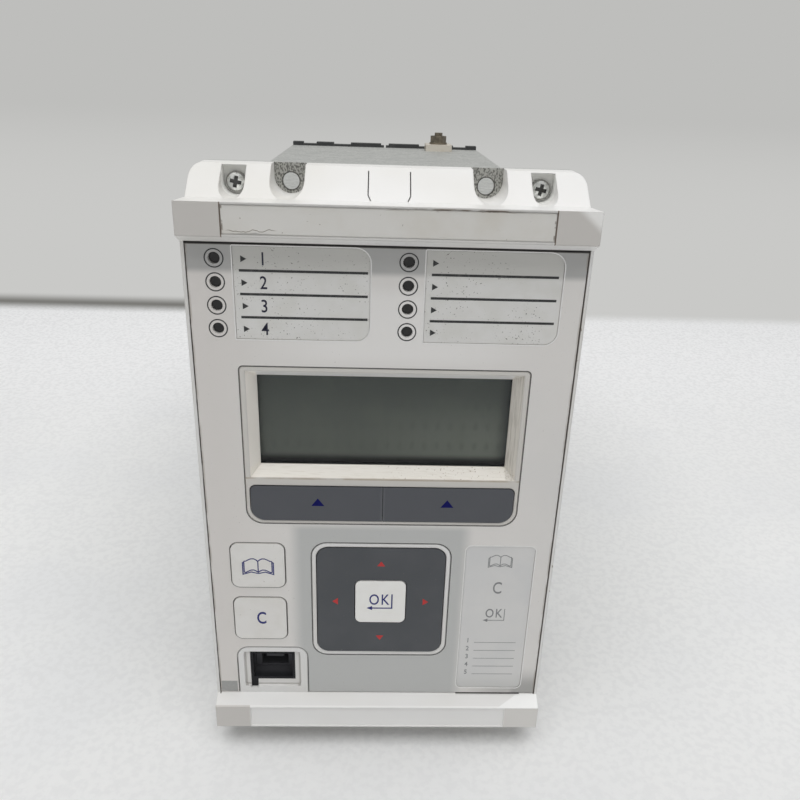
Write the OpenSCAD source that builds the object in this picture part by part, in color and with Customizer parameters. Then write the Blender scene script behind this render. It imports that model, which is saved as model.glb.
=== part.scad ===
// Protection relay for flush panel mounting, millimetres.
// +X right seen from the front, +Y back into the case, +Z up.
// Origin: centre of the four panel-fixing holes, on the rear face of the case lips.

/* [Front moulding] */
// Width across the front
front_w = 102.4; // [102:0.2:106]
// Height of the front
front_h = 177.5; // [177:0.5:182]
// Overlay face ahead of the panel plane
face_y = 23.7; // [23:0.1:26]
// Wall thickness of the moulding
wall = 2.2; // [2:0.1:2.4]
// Step of the two bars past the overlay face
bar_out = 4.2; // [3:0.1:5.5]
// Height of a bar's front face
bar_h = 8.1; // [7.4:0.1:8.4]
// Corner rounding seen from the front
front_r = 3; // [2:0.5:6]

/* [Panel fixing] */
// Hole spacing across
hole_dx = 52.2; // [50:0.2:54]
// Hole spacing up
hole_dz = 168; // [167:0.5:169]
// Hole diameter in the case lips
hole_d = 4.4; // [4:0.1:5]
// Width of the four driver pockets
pocket_w = 8.8; // [8:0.2:9.2]
// Spacing of the retaining screws across
screw_dx = 80; // [78:0.5:81]

/* [Overlay] */
// Moulded rim beside the film
rim_w = 0.9; // [0.7:0.1:1.6]
// Film height
overlay_h = 142.8; // [142:0.2:144.2]
// Film thickness
overlay_t = 0.5; // [0.4:0.1:0.7]

/* [Display] */
// Light band between the frame line and the recess
frame_band = 1.4; // [1.2:0.1:2.4]
// Height of the display opening at the face
disp_h = 32; // [30:0.5:32]
// Depth of the bevelled recess
disp_deep = 4; // [3.4:0.1:4.4]

/* [Keys] */
// Gap round every key
key_gap = 0.25; // [0.2:0.01:0.3]
// Press travel of a key
key_travel = 0.5; // [0.3:0.05:0.6]
// Key face ahead of the film
key_proud = 0.3; // [0.1:0.05:0.6]
// Width of the read and clear keys
side_key_w = 15.6; // [14:0.2:16]
// Height of the read and clear keys
side_key_h = 15.2; // [14:0.2:15.6]
// Light band round the four-way pad
nav_band = 1.55; // [1.4:0.05:2.5]
// Side of the square OK key
ok_w = 15.1; // [14:0.1:15.6]
// Height of the hot keys
hot_h = 11; // [10:0.2:11]

/* [Indicators] */
// Spacing of the lights
led_pitch = 6.05; // [5.8:0.05:6.3]
// Light pipe diameter
led_d = 2.6; // [2.2:0.1:2.8]

/* [Case] */
// Case sides inside the front's edges
flank = 2.7; // [2.2:0.1:3.5]
// Case height
case_h = 154; // [153:0.5:155]
// Case length behind the panel
case_len = 208; // [200:1:230]
// Sheet thickness
sheet = 1.2; // [1:0.1:1.4]

/* [Terminals] */
// Terminal rows in one block
term_rows = 14; // [10:1:14]
// Row spacing
term_pitch = 10.2; // [9.6:0.1:10.2]
// Base thickness of a block
block_t = 5; // [4:0.5:7]
// Barrier height past the block face
fin_h = 4; // [3:0.1:4]

/* [Hidden] */
$fn = 48;
eps = 0.5;

// one tenth of a millimetre across, at the drawn front width
ux = front_w / 1024;
film_gap = 0.3;
overlay_w = front_w - 2 * (rim_w + film_gap);
case_w = front_w - 2 * flank;

// depth levels, front to back
fy = -face_y;
seat_y = fy + overlay_t;
wall_y = seat_y + wall;
post_len = 10;
board_y = wall_y + post_len;
board_t = 1.6;
board_back = board_y + board_t;
lip_y = -sheet;

// moulding section
film_edge = overlay_h / 2 + film_gap;
bar_in = film_edge + 2.2;
bar_top = bar_in + bar_h;
ledge_y = fy + 7.9;
ledge_z = bar_top - 0.8;
crest_y = fy + 17.1;
front_top = front_h / 2;
side_wall = 2.6;
cav_x = front_w / 2 - side_wall;
cav_z = case_h / 2 - 0.5;
label_w = 806 * ux;
label_h = bar_h - 0.9;
label_deep = 0.4;
label_t = 0.2;

// fixing pockets
hole_z = hole_dz / 2;
pocket_r = pocket_w / 2;
pocket_z = hole_z + 1.2;
screw_head_d = 5.2;
screw_head_h = 2;
screw_d = 3;
screw_seat = lip_y - 3.3;
screw_pocket_r = screw_head_d / 2 + 0.6;
screw_pocket_up = 4.3;
cross_w = 1;
cross_len = 3;
cross_turn = 12;
screw_fit = 0.05;

// face layout, Z from the centre of the front
disp_z = 22.15;
bevel_run = 0.65;
frame_x = 386 * ux;
disp_w = 2 * (frame_x - frame_band);
frame_z0 = -8.55;
frame_z1 = 39.35;
rim_gap = 0.15;
hot_x = 373 * ux;
hot_z0 = -7.35;
hot_z1 = hot_z0 + hot_h;
hot_r = 4;
hot_seam = 0.06;
side_key_x = -362.5 * ux;
read_z = -23.15;
clear_z = -42.4;
key_r = 2.2;
nav_z = -35.65;
nav_rim = 205.5 * ux;
pad_w = 2 * (nav_rim - nav_band);
nav_r = 3.5;
usb_x = -334 * ux;
usb_z = -61.5;
usb_w = 14;
usb_h = 11;
usb_pad_x0 = usb_x - 10.7;
usb_pad_x1 = usb_x + 11.1;
usb_pad_top = -53.6;
usb_pocket = 0.8;
usb_pocket_z = [-69.2, -55.4];
usb_tail_z = -70;
usb_tail_w = 2.2;
bezel_t = 0.8;
bezel_fit = 0.1;
bezel_flange = 0.4;
led_x = [-432 * ux, 52 * ux];
led_top = 67.8;
led_hole = led_d + 0.4;
led_deep = 0.9;
card_gap = 0.1;
card_t = 0.3;
card_mouth = 0.25;
card_z0 = 46.85;
card_z1 = 70.95;
card_left = [-387 * ux, -44 * ux];
card_right = [95 * ux, 444 * ux];
card_r = 3.5;
info_box = [249 * ux, 455 * ux, -69.35, -15.65];
info_r = 1.5;
post_r = 2.6;
post_x = cav_x - 2.4;
post_z = [44, -10, -66];
post_at = [for (x = [-post_x, post_x], z = post_z) [x, z]];
board_edge = 72;
board_screw_grip = 7.5;
cradle_fold = 8;
pilot_d = 2.5;

// keys
key_back = wall_y + 0.2;
key_lip = 0.9;
lip_t = 0.9;
switch_body = 3.5;
switch_tip = 1.5;
stem_end = board_y - switch_body - switch_tip - key_travel - 0.2;
pad_rock_gap = 0.9;
pad_back = wall_y + pad_rock_gap;
pad_lip_back = pad_back + lip_t;
ok_back = pad_lip_back + 0.5;
ok_lip = 0.9;
ridge_d = 1.2;
ridge_y = pad_lip_back + 0.06 + ridge_d / 2;
ring_y = pad_lip_back + 0.6;
ring_t = 1;
ring_w = pad_w - 2;
ring_hole = ok_w + 2 * ok_lip + 2.2;
ring_mid = ring_y + ring_t / 2;
pivot_d = 1.2;
pivot_fit = 0.25;
ear_x = pad_w / 2 + key_lip + 0.6;
ear_t = 1.5;

// display stack
window_y = fy + disp_deep;
window_t = 1;
boss_back = window_y + window_t + 0.7;
boss_z0 = hot_z1 + key_lip + 0.45;
boss_z1 = 40.2;
boss_x = frame_x + 2;
glass_w = disp_w - 2 * bevel_run * disp_deep;
glass_h = disp_h - 2 * bevel_run * disp_deep;
lens_w = glass_w + 2.8;
lens_h = glass_h + 2.8;
lens_gap = 0.25;
lcd_w = disp_w + 5.6;
lcd_h = 34;
lcd_wall = 0.6;
lcd_glass_t = 2.8;

// case
cw = case_w / 2;
ch = case_h / 2;
lid_return = 12;
rivet_d = 3.2;
rivet_y = [for (f = [0.1, 0.48, 0.89]) f * case_len];
rear_t = sheet;
rear_y = case_len - rear_t;
conn_w = 8;
conn_h = 120;
col_x = [cw * 122 / 485, cw * 366 / 485];
block_screw_x = (col_x[0] + col_x[1]) / 2;
conn_out = block_screw_x + 7.6;
conn_x = [-conn_out, 0, conn_out];

// terminal blocks
block_x0 = 0.5;
block_x1 = cw - 0.2;
block_face = case_len + block_t;
block_ridge = 0.9;
cell_w = 15;
fin_t = 1.4;
rows_h = term_rows * term_pitch;
tab_t = 0.8;
term_head_d = 6.4;
term_head_h = 2.2;
term_d = 3.9;
term_deep = block_t - 1;
block_screw_end = conn_h / 2 + 4;
block_screw_z = [-block_screw_end, 0, block_screw_end];

// earth terminal on the lid
earth_in = 21.1;
earth_x = cw - earth_in;
earth_y = case_len - 9;
earth_w = 13.3;
earth_len = 12;
earth_rise = 3.2;
stud_d = 4;
washer_t = 0.8;
nut_af = 7;
nut_t = 3.2;
stud_top = ch + earth_rise + washer_t + nut_t + 1.5;

// cradle and boards
cradle_x = cw - 2 * sheet - 1.6;
cradle_y0 = 1;
cradle_y1 = case_len - 9;
guide_h = 5;
guide_floor = ch - 2 * sheet - 2.1;
card_y0 = 8;
card_y1 = case_len - 12;
pcb_t = 1.6;
card_len = card_y1 - card_y0;

// large components: size out from the board, along the depth, and up
chip_w = 28;
chip_t = 3;
mem_w = 20;
mem_h = 10;
mem_t = 1.6;
mem_z = [-40, -22, 26, 44];
coil_out = 22;
coil_w = 32;
coil_h = 36;
coil_z = -32;
can_d = 16;
can_out = 24;
can_pitch = 20;
can_z = 4;
sink_t = 3;
sink_out = 15;
sink_w = 40;
sink_h = 70;
sink_fin = 2;
sink_pitch = 7;
sink_z = -5;
relay_out = 12;
relay_h = 12;
relay_pitch = 15;
ct_out = 24;
ct_w = 26;
ct_h = 28;
ct_pitch = 32;
ct_slot = 5;
ct_leg = 6.5;
ct_slot_h = 18;
header_out = 5;
header_h = 28;
header_t = 4;
cable_w = 24;
cable_t = 0.8;
stage_1 = card_y0 + 0.30 * card_len;
stage_2 = card_y0 + 0.52 * card_len;
stage_3 = card_y0 + 0.75 * card_len;

function mirror_z(p) = [for (i = [len(p) - 1 : -1 : 0]) [p[i][0], -p[i][1]]];

// box between two limits on each axis
module box(x, y, z) {
  translate([x[0], y[0], z[0]]) cube([x[1] - x[0], y[1] - y[0], z[1] - z[0]]);
}

// rectangle with its own radius at each corner: top left, top right, bottom right, bottom left
module rquad(x0, x1, z0, z1, r) {
  polygon([
    [x0 + r[0], z1], [x1 - r[1], z1], [x1, z1 - r[1]], [x1, z0 + r[2]],
    [x1 - r[2], z0], [x0 + r[3], z0], [x0, z0 + r[3]], [x0, z1 - r[0]]
  ]);
  if (r[0] > 0) translate([x0 + r[0], z1 - r[0]]) circle(r[0]);
  if (r[1] > 0) translate([x1 - r[1], z1 - r[1]]) circle(r[1]);
  if (r[2] > 0) translate([x1 - r[2], z0 + r[2]]) circle(r[2]);
  if (r[3] > 0) translate([x0 + r[3], z0 + r[3]]) circle(r[3]);
}

// sheet between y0 and y1 with the same corner radii
module rsheet(y0, y1, x0, x1, z0, z1, r) {
  slab(y0, y1) polygon([
    [x0 + r[0], z1], [x1 - r[1], z1], [x1, z1 - r[1]], [x1, z0 + r[2]],
    [x1 - r[2], z0], [x0 + r[3], z0], [x0, z0 + r[3]], [x0, z1 - r[0]]
  ]);
  if (r[0] > 0) rod(x0 + r[0], z1 - r[0], y0, y1, 2 * r[0]);
  if (r[1] > 0) rod(x1 - r[1], z1 - r[1], y0, y1, 2 * r[1]);
  if (r[2] > 0) rod(x1 - r[2], z0 + r[2], y0, y1, 2 * r[2]);
  if (r[3] > 0) rod(x0 + r[3], z0 + r[3], y0, y1, 2 * r[3]);
}

// flat outline in X and Z, drawn out from y0 back to y1
module slab(y0, y1) {
  translate([0, y1, 0]) rotate([90, 0, 0]) linear_extrude(y1 - y0) children();
}

// outline in Y and Z, drawn out along X
module along_x(x0, x1) {
  translate([x0, 0, 0]) rotate([90, 0, 90]) linear_extrude(x1 - x0) children();
}

// box on one side, between the distances a and b from the middle
module side_box(s, a, b, y, z) {
  box(s < 0 ? [-b, -a] : [a, b], y, z);
}

// round bar along Y
module rod(x, z, y0, y1, d) {
  translate([x, y1, z]) rotate([90, 0, 0]) cylinder(d = d, h = y1 - y0);
}

// round bar along X
module rod_x(y, z, x0, x1, d) {
  translate([x0, y, z]) rotate([0, 90, 0]) cylinder(d = d, h = x1 - x0);
}

module frame_outline(g) {
  rquad(-frame_x + g, frame_x - g, frame_z0 + g, frame_z1 - g, [1, 1, 4.5, 4.5]);
}

module nav_outline(g) {
  rquad(-nav_rim + g, nav_rim - g, nav_z - nav_rim + g, nav_z + nav_rim - g, [4.5, 4.5, 4.5, 4.5]);
}

module usb_outline(g) {
  rquad(usb_pad_x0 + g, usb_pad_x1 - g, -film_edge, usb_pad_top - g, [3.5, 3.5, 0, 0]);
}

module side_key_outline(z, g) {
  w = side_key_w / 2 + g;
  h = side_key_h / 2 + g;
  r = key_r + g;
  rquad(side_key_x - w, side_key_x + w, z - h, z + h, [r, r, r, r]);
}

module square_outline(w, r) {
  rquad(-w / 2, w / 2, nav_z - w / 2, nav_z + w / 2, [r, r, r, r]);
}

module hot_outline(side, g, inner) {
  r = [1.5 + g, hot_r + g];
  if (side < 0) rquad(-hot_x - g, -inner, hot_z0 - g, hot_z1 + g, [r[0], 0, 0, r[1]]);
  if (side > 0) rquad(inner, hot_x + g, hot_z0 - g, hot_z1 + g, [0, r[0], r[1], 0]);
  if (side == 0) rquad(-hot_x - g, hot_x + g, hot_z0 - g, hot_z1 + g, [r[0], r[0], r[1], r[1]]);
}

module card_outline(x) {
  rquad(x[0], x[1], card_z0, card_z1, [0, card_r, card_r, 0]);
}

module info_outline() {
  rquad(info_box[0], info_box[1], info_box[2], info_box[3], [info_r, info_r, info_r, info_r]);
}

// repeats its children for the four corner fixings at +-x, turned over for the lower pair
module corners(x) {
  for (m = [0, 1], s = [-1, 1]) mirror([0, 0, m]) translate([s * x, 0, 0]) children();
}

/* front moulding */

module mould_section() {
  up = [
    [fy, film_edge], [fy - bar_out, bar_in], [fy - bar_out, bar_top], [ledge_y, ledge_z],
    [crest_y, front_top], [lip_y, front_top]
  ];
  polygon(concat(up, mirror_z(up)));
}

module mould_hollow() {
  bar_back = fy - bar_out + wall;
  up = [
    [wall_y, film_edge - 0.8], [bar_back, bar_in + 0.2], [bar_back, bar_top - 2.4], [fy + 6, bar_top - 3],
    [fy + 6, cav_z], [lip_y + eps, cav_z]
  ];
  polygon(concat(up, mirror_z(up)));
}

// hollow behind a slope, open at the back
module slope_core(x0, x1) {
  along_x(x0, x1) polygon([
    [lip_y + eps, cav_z + 3], [ledge_y + 1.4, cav_z + 3], [crest_y + 0.2, front_top - 2.2],
    [lip_y + eps, front_top - 2.2]
  ]);
}

module fixing_cuts() {
  corners(hole_dx / 2) {
    rod(0, pocket_z, ledge_y - 1.5, lip_y + eps, pocket_w);
    box([-pocket_r, pocket_r], [ledge_y - 1.5, lip_y + eps], [pocket_z, front_top + eps]);
  }
  corners(screw_dx / 2) {
    rod(0, hole_z, ledge_y - 1, screw_seat, 2 * screw_pocket_r);
    box([-screw_pocket_r, screw_pocket_r], [ledge_y - 1, screw_seat], [hole_z, hole_z + screw_pocket_up]);
    rod(0, hole_z, screw_seat - eps, lip_y + eps, screw_d + 0.2);
  }
}

// slits that free a sprung tongue in the middle of each slope
module tongue_cuts() {
  slit = 0.25;
  tongue = 5.4;
  for (m = [0, 1], s = [-1, 1]) mirror([0, 0, m]) {
    box([s * tongue - slit / 2, s * tongue + slit / 2], [ledge_y - 1, crest_y + 3],
      [ledge_z + 1.2, front_top - 1]);
    translate([s * tongue, 0, ledge_z + 1.3]) rotate([0, s * 30, 0])
      box([-slit / 2, slit / 2], [ledge_y - 1, crest_y], [-1.4, 0.1]);
  }
}

module display_funnel() {
  y0 = fy - 1;
  y1 = window_y + 0.2;
  g0 = bevel_run;
  g1 = bevel_run * (disp_deep + 0.2);
  w = disp_w / 2;
  h = disp_h / 2;
  intersection() {
    translate([0, 0, disp_z - h - 2]) linear_extrude(disp_h + 4)
      polygon([[-w - g0, y0], [w + g0, y0], [w - g1, y1], [-w + g1, y1]]);
    along_x(-w - 2, w + 2) polygon([
      [y0, disp_z - h - g0], [y1, disp_z - h + g1], [y1, disp_z + h - g1], [y0, disp_z + h + g0]
    ]);
  }
}

module key_openings(y0, y1) {
  slab(y0, y1) {
    hot_outline(0, key_gap, 0);
    side_key_outline(read_z, key_gap);
    side_key_outline(clear_z, key_gap);
    square_outline(pad_w + 2 * key_gap, nav_r + key_gap);
  }
  for (x = led_x, i = [0:3]) rod(x, led_top - i * led_pitch, y0, y1, led_hole);
}

module usb_cuts() {
  slab(fy - 1, fy + usb_pocket) rquad(usb_x - 8.8, usb_x + 8.8, usb_pocket_z[0], usb_pocket_z[1],
    [1.5, 1.5, 1.5, 1.5]);
  box([usb_x - usb_w / 2, usb_x + usb_w / 2], [fy, boss_back + 2], [usb_z - usb_h / 2, usb_z + usb_h / 2]);
  box([usb_x - usb_w / 2, usb_x - usb_w / 2 + usb_tail_w], [fy - 1, fy + 2], [usb_tail_z, usb_z]);
}

module front_moulding() color("WhiteSmoke") {
  difference() {
    union() {
      difference() {
        intersection() {
          along_x(-front_w / 2, front_w / 2) mould_section();
          slab(fy - bar_out - 1, lip_y) rquad(-front_w / 2, front_w / 2, -front_top, front_top,
            [front_r, front_r, front_r, front_r]);
        }
        along_x(-cav_x, cav_x) mould_hollow();
        slab(fy - 1, seat_y) difference() {
          square([overlay_w + 2 * film_gap, 2 * film_edge], center = true);
          frame_outline(rim_gap);
          nav_outline(rim_gap);
          usb_outline(rim_gap);
        }
        for (s = [-1, 1]) box([-label_w / 2, label_w / 2], [fy - bar_out - 1, fy - bar_out + label_deep],
          [s * (bar_in + bar_h / 2) - label_h / 2, s * (bar_in + bar_h / 2) + label_h / 2]);
        for (m = [0, 1]) mirror([0, 0, m]) {
          slope_core(-5.2, 5.2);
          slope_core(-20.2, -7);
          slope_core(7, 20.2);
        }
      }
      box([-boss_x, boss_x], [wall_y - eps, boss_back], [boss_z0, boss_z1]);
      box([usb_x - usb_w / 2 - 1.5, usb_x + usb_w / 2 + 1.5], [wall_y - eps, boss_back],
        [usb_z - usb_h / 2 - 1.5, usb_z + usb_h / 2 + 1.5]);
      for (p = post_at) rod(p[0], p[1], wall_y - eps, board_y, 2 * post_r);
      for (s = [-1, 1]) side_box(s, ear_x, ear_x + ear_t, [wall_y - eps, ring_mid + 1.6],
        [nav_z - 2, nav_z + 2]);
    }
    fixing_cuts();
    tongue_cuts();
    display_funnel();
    box([-lens_w / 2 - lens_gap, lens_w / 2 + lens_gap], [window_y, boss_back + eps],
      [disp_z - lens_h / 2 - lens_gap, disp_z + lens_h / 2 + lens_gap]);
    key_openings(fy - 1, wall_y + eps);
    usb_cuts();
    box([info_box[0], info_box[1]], [fy - 3, seat_y + 1.2], [-film_edge - card_mouth, -film_edge + 0.4]);
    for (p = post_at) rod(p[0], p[1], board_y - 8.5, board_y + eps, pilot_d);
    rod_x(ring_mid, nav_z, -ear_x - ear_t - eps, ear_x + ear_t + eps, pivot_d + 2 * pivot_fit);
  }
}

module overlay() color("Gainsboro") slab(fy, seat_y) difference() {
  square([overlay_w, overlay_h], center = true);
  frame_outline(0);
  nav_outline(0);
  usb_outline(0);
  side_key_outline(read_z, key_gap);
  side_key_outline(clear_z, key_gap);
  card_outline(card_left);
  card_outline(card_right);
  info_outline();
  for (x = led_x, i = [0:3]) translate([x, led_top - i * led_pitch]) circle(d = led_hole);
}

module led_card(x) {
  g = card_gap;
  r = card_r - g;
  rsheet(seat_y - card_t, seat_y, x[0] + g, x[1] - g, card_z0 + g, card_z1 - g, [0, r, r, 0]);
}

module led_card_left() color("White") led_card(card_left);

module led_card_right() color("White") led_card(card_right);

module info_card() color("White") {
  g = card_gap;
  r = info_r - g;
  rsheet(seat_y - card_t, seat_y, info_box[0] + g, info_box[1] - g, info_box[2] + g, info_box[3] - g,
    [r, r, r, r]);
}

module rating_label() color("White") {
  z = bar_in + bar_h / 2;
  y = fy - bar_out + label_deep;
  w = label_w / 2 - 0.3;
  h = label_h / 2 - 0.3;
  box([-w, w], [y - label_t, y], [z - h, z + h]);
}

module display_window() color("DarkSlateGray") {
  box([-lens_w / 2, lens_w / 2], [window_y, window_y + window_t], [disp_z - lens_h / 2, disp_z + lens_h / 2]);
}

module lcd_frame() color("DimGray") difference() {
  box([-lcd_w / 2, lcd_w / 2], [boss_back, board_y], [disp_z - lcd_h / 2 + 0.4, disp_z + lcd_h / 2 + 0.4]);
  box([-lcd_w / 2 + lcd_wall, lcd_w / 2 - lcd_wall], [boss_back + lcd_wall, board_y + eps],
    [disp_z - lcd_h / 2 + 0.4 + lcd_wall, disp_z + lcd_h / 2 + 0.4 - lcd_wall]);
  box([-glass_w / 2 - 0.6, glass_w / 2 + 0.6], [boss_back - eps, boss_back + 1],
    [disp_z - glass_h / 2 - 0.6, disp_z + glass_h / 2 + 0.6]);
}

// sheet that fills the display frame, less a small gap
module lcd_layer(y0, y1) {
  g = lcd_wall + 0.2;
  box([-lcd_w / 2 + g, lcd_w / 2 - g], [y0, y1],
    [disp_z - lcd_h / 2 + 0.4 + g, disp_z + lcd_h / 2 + 0.4 - g]);
}

module lcd_panel() color("OliveDrab") {
  lcd_layer(boss_back + lcd_wall, boss_back + lcd_wall + lcd_glass_t);
}

module lcd_diffuser() color("Ivory") lcd_layer(boss_back + lcd_wall + lcd_glass_t, board_y);

/* keys */

module stem(x, z, y0) {
  rod(x, z, y0 - 0.2, stem_end, 4);
}

module hot_key(side) {
  slab(fy - key_proud, key_back + lip_t) hot_outline(side, 0, hot_seam);
  slab(key_back, key_back + lip_t) {
    if (side < 0) rquad(-hot_x - key_lip, -hot_seam, hot_z0 - key_lip, hot_z1 + key_lip, [1, 0, 0, 1]);
    if (side > 0) rquad(hot_seam, hot_x + key_lip, hot_z0 - key_lip, hot_z1 + key_lip, [0, 1, 1, 0]);
  }
  stem(side * hot_x / 2, hot_z0 + hot_h / 2, key_back + lip_t);
}

module side_key(z) {
  slab(fy - key_proud, key_back + lip_t) side_key_outline(z, 0);
  slab(key_back, key_back + lip_t) side_key_outline(z, key_lip);
  stem(side_key_x, z, key_back + lip_t);
}

module hot_key_left() color("DimGray") hot_key(-1);

module hot_key_right() color("DimGray") hot_key(1);

module read_key() color("White") side_key(read_z);

module clear_key() color("White") side_key(clear_z);

module ok_key() color("White") {
  slab(fy - key_proud - 0.2, ok_back + lip_t) square_outline(ok_w, 1.8);
  slab(ok_back, ok_back + lip_t) square_outline(ok_w + 2 * ok_lip, 1.8);
  stem(0, nav_z, ok_back + lip_t);
}

module nav_pad() color("DimGray") difference() {
  union() {
    slab(fy - key_proud, pad_lip_back) square_outline(pad_w, nav_r);
    slab(pad_back, pad_lip_back) square_outline(pad_w + 2 * key_lip, nav_r);
  }
  slab(fy - 2, pad_lip_back + eps) square_outline(ok_w + 2 * key_gap, 2);
}

// gimbal ring: turns on two pins in the moulding, and carries the pad on two ribs
module nav_ring() color("Gray") {
  slab(ring_y, ring_y + ring_t) difference() {
    square_outline(ring_w, 3);
    square_outline(ring_hole, 2);
  }
  for (s = [-1, 1]) translate([0, ridge_y, nav_z + s * (ring_hole / 2 + 4) - 3])
    cylinder(d = ridge_d, h = 6);
  for (m = [0, 1]) mirror([m, 0, 0]) rod_x(ring_mid, nav_z, ring_w / 2 - 1, ear_x + ear_t, pivot_d);
}

module led_lenses() color("DarkSlateGray") {
  for (x = led_x, i = [0:3]) {
    rod(x, led_top - i * led_pitch, fy + led_deep, board_y, led_d);
    rod(x, led_top - i * led_pitch, wall_y + 0.4, board_y, 4.2);
  }
}

// black collar that lines the socket opening, held by a thin flange in front of the shell
module usb_bezel() color("Black") difference() {
  w = usb_w / 2 - bezel_fit;
  h = usb_h / 2 - bezel_fit;
  union() {
    box([usb_x - w, usb_x + w], [fy + usb_pocket + 0.05, boss_back + bezel_flange], [usb_z - h, usb_z + h]);
    box([usb_x - w - 1.2, usb_x + w + 1.2], [boss_back, boss_back + bezel_flange],
      [usb_z - h - 1.2, usb_z + h + 1.2]);
    box([usb_x - w, usb_x - w + usb_tail_w - 2 * bezel_fit], [fy + usb_pocket + 0.05, fy + 1.9],
      [usb_tail_z + bezel_fit, usb_z - h + 0.2]);
  }
  box([usb_x - w + bezel_t, usb_x + w - bezel_t], [fy, boss_back + 2],
    [usb_z - h + bezel_t, usb_z + h - bezel_t]);
}

module usb_shell() color("Silver") difference() {
  box([usb_x - 6, usb_x + 6], [boss_back + bezel_flange, board_y], [usb_z - 4.95, usb_z + 4.95]);
  box([usb_x - 4.25, usb_x + 4.25], [boss_back, board_y - 1], [usb_z - 3.9, usb_z + 3.9]);
}

module usb_insert() color("Black") {
  box([usb_x - 2.8, usb_x + 2.8], [boss_back + 1, board_y - 1], [usb_z - 1.6, usb_z + 1.6]);
}

module front_board() color("ForestGreen") difference() {
  box([-cav_x + 1.2, cav_x - 1.2], [board_y, board_back], [-board_edge, board_edge]);
  for (p = post_at) rod(p[0], p[1], board_y - eps, board_back + eps, pilot_d + 0.4);
}

module key_switch(x, z, tip) {
  box([x - 3, x + 3], [board_y - switch_body, board_y], [z - 3, z + 3]);
  rod(x, z, board_y - switch_body - tip, board_y - switch_body + 0.2, 3.4);
}

module key_switches() color("Black") {
  for (s = [-1, 1]) key_switch(s * hot_x / 2, hot_z0 + hot_h / 2, switch_tip);
  for (z = [read_z, clear_z]) key_switch(side_key_x, z, switch_tip);
  key_switch(0, nav_z, switch_tip);
  nav_tip = board_y - switch_body - (ring_y + ring_t) - 0.8;
  for (s = [-1, 1]) {
    key_switch(s * 13.8, nav_z, nav_tip);
    key_switch(0, nav_z + s * 13.8, nav_tip);
  }
}

module board_screws() color("Silver") {
  for (p = post_at) {
    rod(p[0], p[1], board_y - board_screw_grip, board_back + 0.5, pilot_d - 2 * screw_fit);
    rod(p[0], p[1], board_back, board_back + 1.6, 4.4);
  }
}

// pan-head screw with a cross recess, head front towards -Y
module pan_screw(x, z, seat, tip) {
  difference() {
    union() {
      intersection() {
        rod(x, z, seat - screw_head_h, seat, screw_head_d);
        translate([x, seat - screw_head_h + 4.6, z]) sphere(d = 9.2, $fn = 64);
      }
      rod(x, z, seat - 0.2, tip, screw_d - 2 * screw_fit);
    }
    for (a = [cross_turn, cross_turn + 90]) translate([x, seat - screw_head_h, z]) rotate([0, a, 0])
      cube([cross_len, 1.8, cross_w], center = true);
  }
}

module retaining_screws() color("Silver") {
  for (sx = [-1, 1], sz = [-1, 1]) pan_screw(sx * screw_dx / 2, sz * hole_z, screw_seat, -0.1);
}

/* case */

// the front lip, with its two fixing holes and two retaining-screw holes, upper side
module lip_outline() {
  difference() {
    translate([-cw, ch - sheet]) square([case_w, front_top - ch + sheet]);
    for (s = [-1, 1]) translate([s * hole_dx / 2, hole_z]) circle(d = hole_d);
    for (s = [-1, 1]) translate([s * screw_dx / 2, hole_z]) circle(d = screw_d);
  }
}

module rivet_holes() {
  for (y = rivet_y) rod_x(y, ch - sheet - lid_return / 2, -cw - 1, cw + 1, rivet_d);
}

module case_lid() color("Silver") difference() {
  union() {
    slab(lip_y, 0) lip_outline();
    box([-cw, cw], [lip_y, case_len], [ch - sheet, ch]);
    for (s = [-1, 1]) side_box(s, cw - 2 * sheet, cw - sheet, [2, rear_y - 0.5],
      [ch - sheet - lid_return, ch - sheet + 0.2]);
  }
  rivet_holes();
}

module case_tray() color("Silver") difference() {
  union() {
    slab(lip_y, 0) mirror([0, 1]) lip_outline();
    box([-cw, cw], [lip_y, case_len], [-ch, -ch + sheet]);
    for (s = [-1, 1]) side_box(s, cw - sheet, cw, [lip_y, case_len], [-ch, ch - sheet]);
  }
  rivet_holes();
}

module case_rivets() color("Silver") {
  z = ch - sheet - lid_return / 2;
  in = cw - 2 * sheet;
  for (y = rivet_y, m = [0, 1]) mirror([m, 0, 0]) {
    rod_x(y, z, in - 0.5, cw, rivet_d - 0.1);
    rod_x(y, z, in - 0.8, in, 5);
  }
}

module rear_plate() color("Silver") slab(rear_y, case_len) difference() {
  square([case_w - 2 * sheet, case_h - 2 * sheet], center = true);
  for (x = conn_x) translate([x, 0]) square([conn_w + 1, conn_h + 1], center = true);
  for (s = [-1, 1], z = block_screw_z) translate([s * block_screw_x, z]) circle(d = screw_d);
}

// one moulded block, right side
module terminal_block() {
  difference() {
    union() {
      box([block_x0, block_x1], [case_len, block_face], [-ch, ch + block_ridge]);
      for (x = [[2, 18], [27, 36], [43, block_x1]]) box(x, [case_len, block_face],
        [ch - 1.5, ch + 2 * block_ridge]);
      for (x = col_x, i = [0:term_rows]) {
        z = (i - term_rows / 2) * term_pitch;
        box([x - cell_w / 2, x + cell_w / 2], [block_face - eps, block_face + fin_h],
          [z - fin_t / 2, z + fin_t / 2]);
      }
      for (x = [col_x[0] + cell_w / 2, col_x[1] - cell_w / 2]) box([x - 0.7, x + 0.7],
        [block_face - eps, block_face + fin_h], [-rows_h / 2 - fin_t / 2, rows_h / 2 + fin_t / 2]);
    }
    for (x = col_x, i = [1:term_rows]) rod(x, (i - 0.5 - term_rows / 2) * term_pitch,
      block_face - term_deep, block_face + eps, term_d);
    for (z = block_screw_z) rod(block_screw_x, z, case_len - eps, block_face + eps, screw_d + 0.2);
  }
}

module terminal_block_right() color("DarkSlateGray") terminal_block();

module terminal_block_left() color("DarkSlateGray") mirror([1, 0, 0]) terminal_block();

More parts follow.
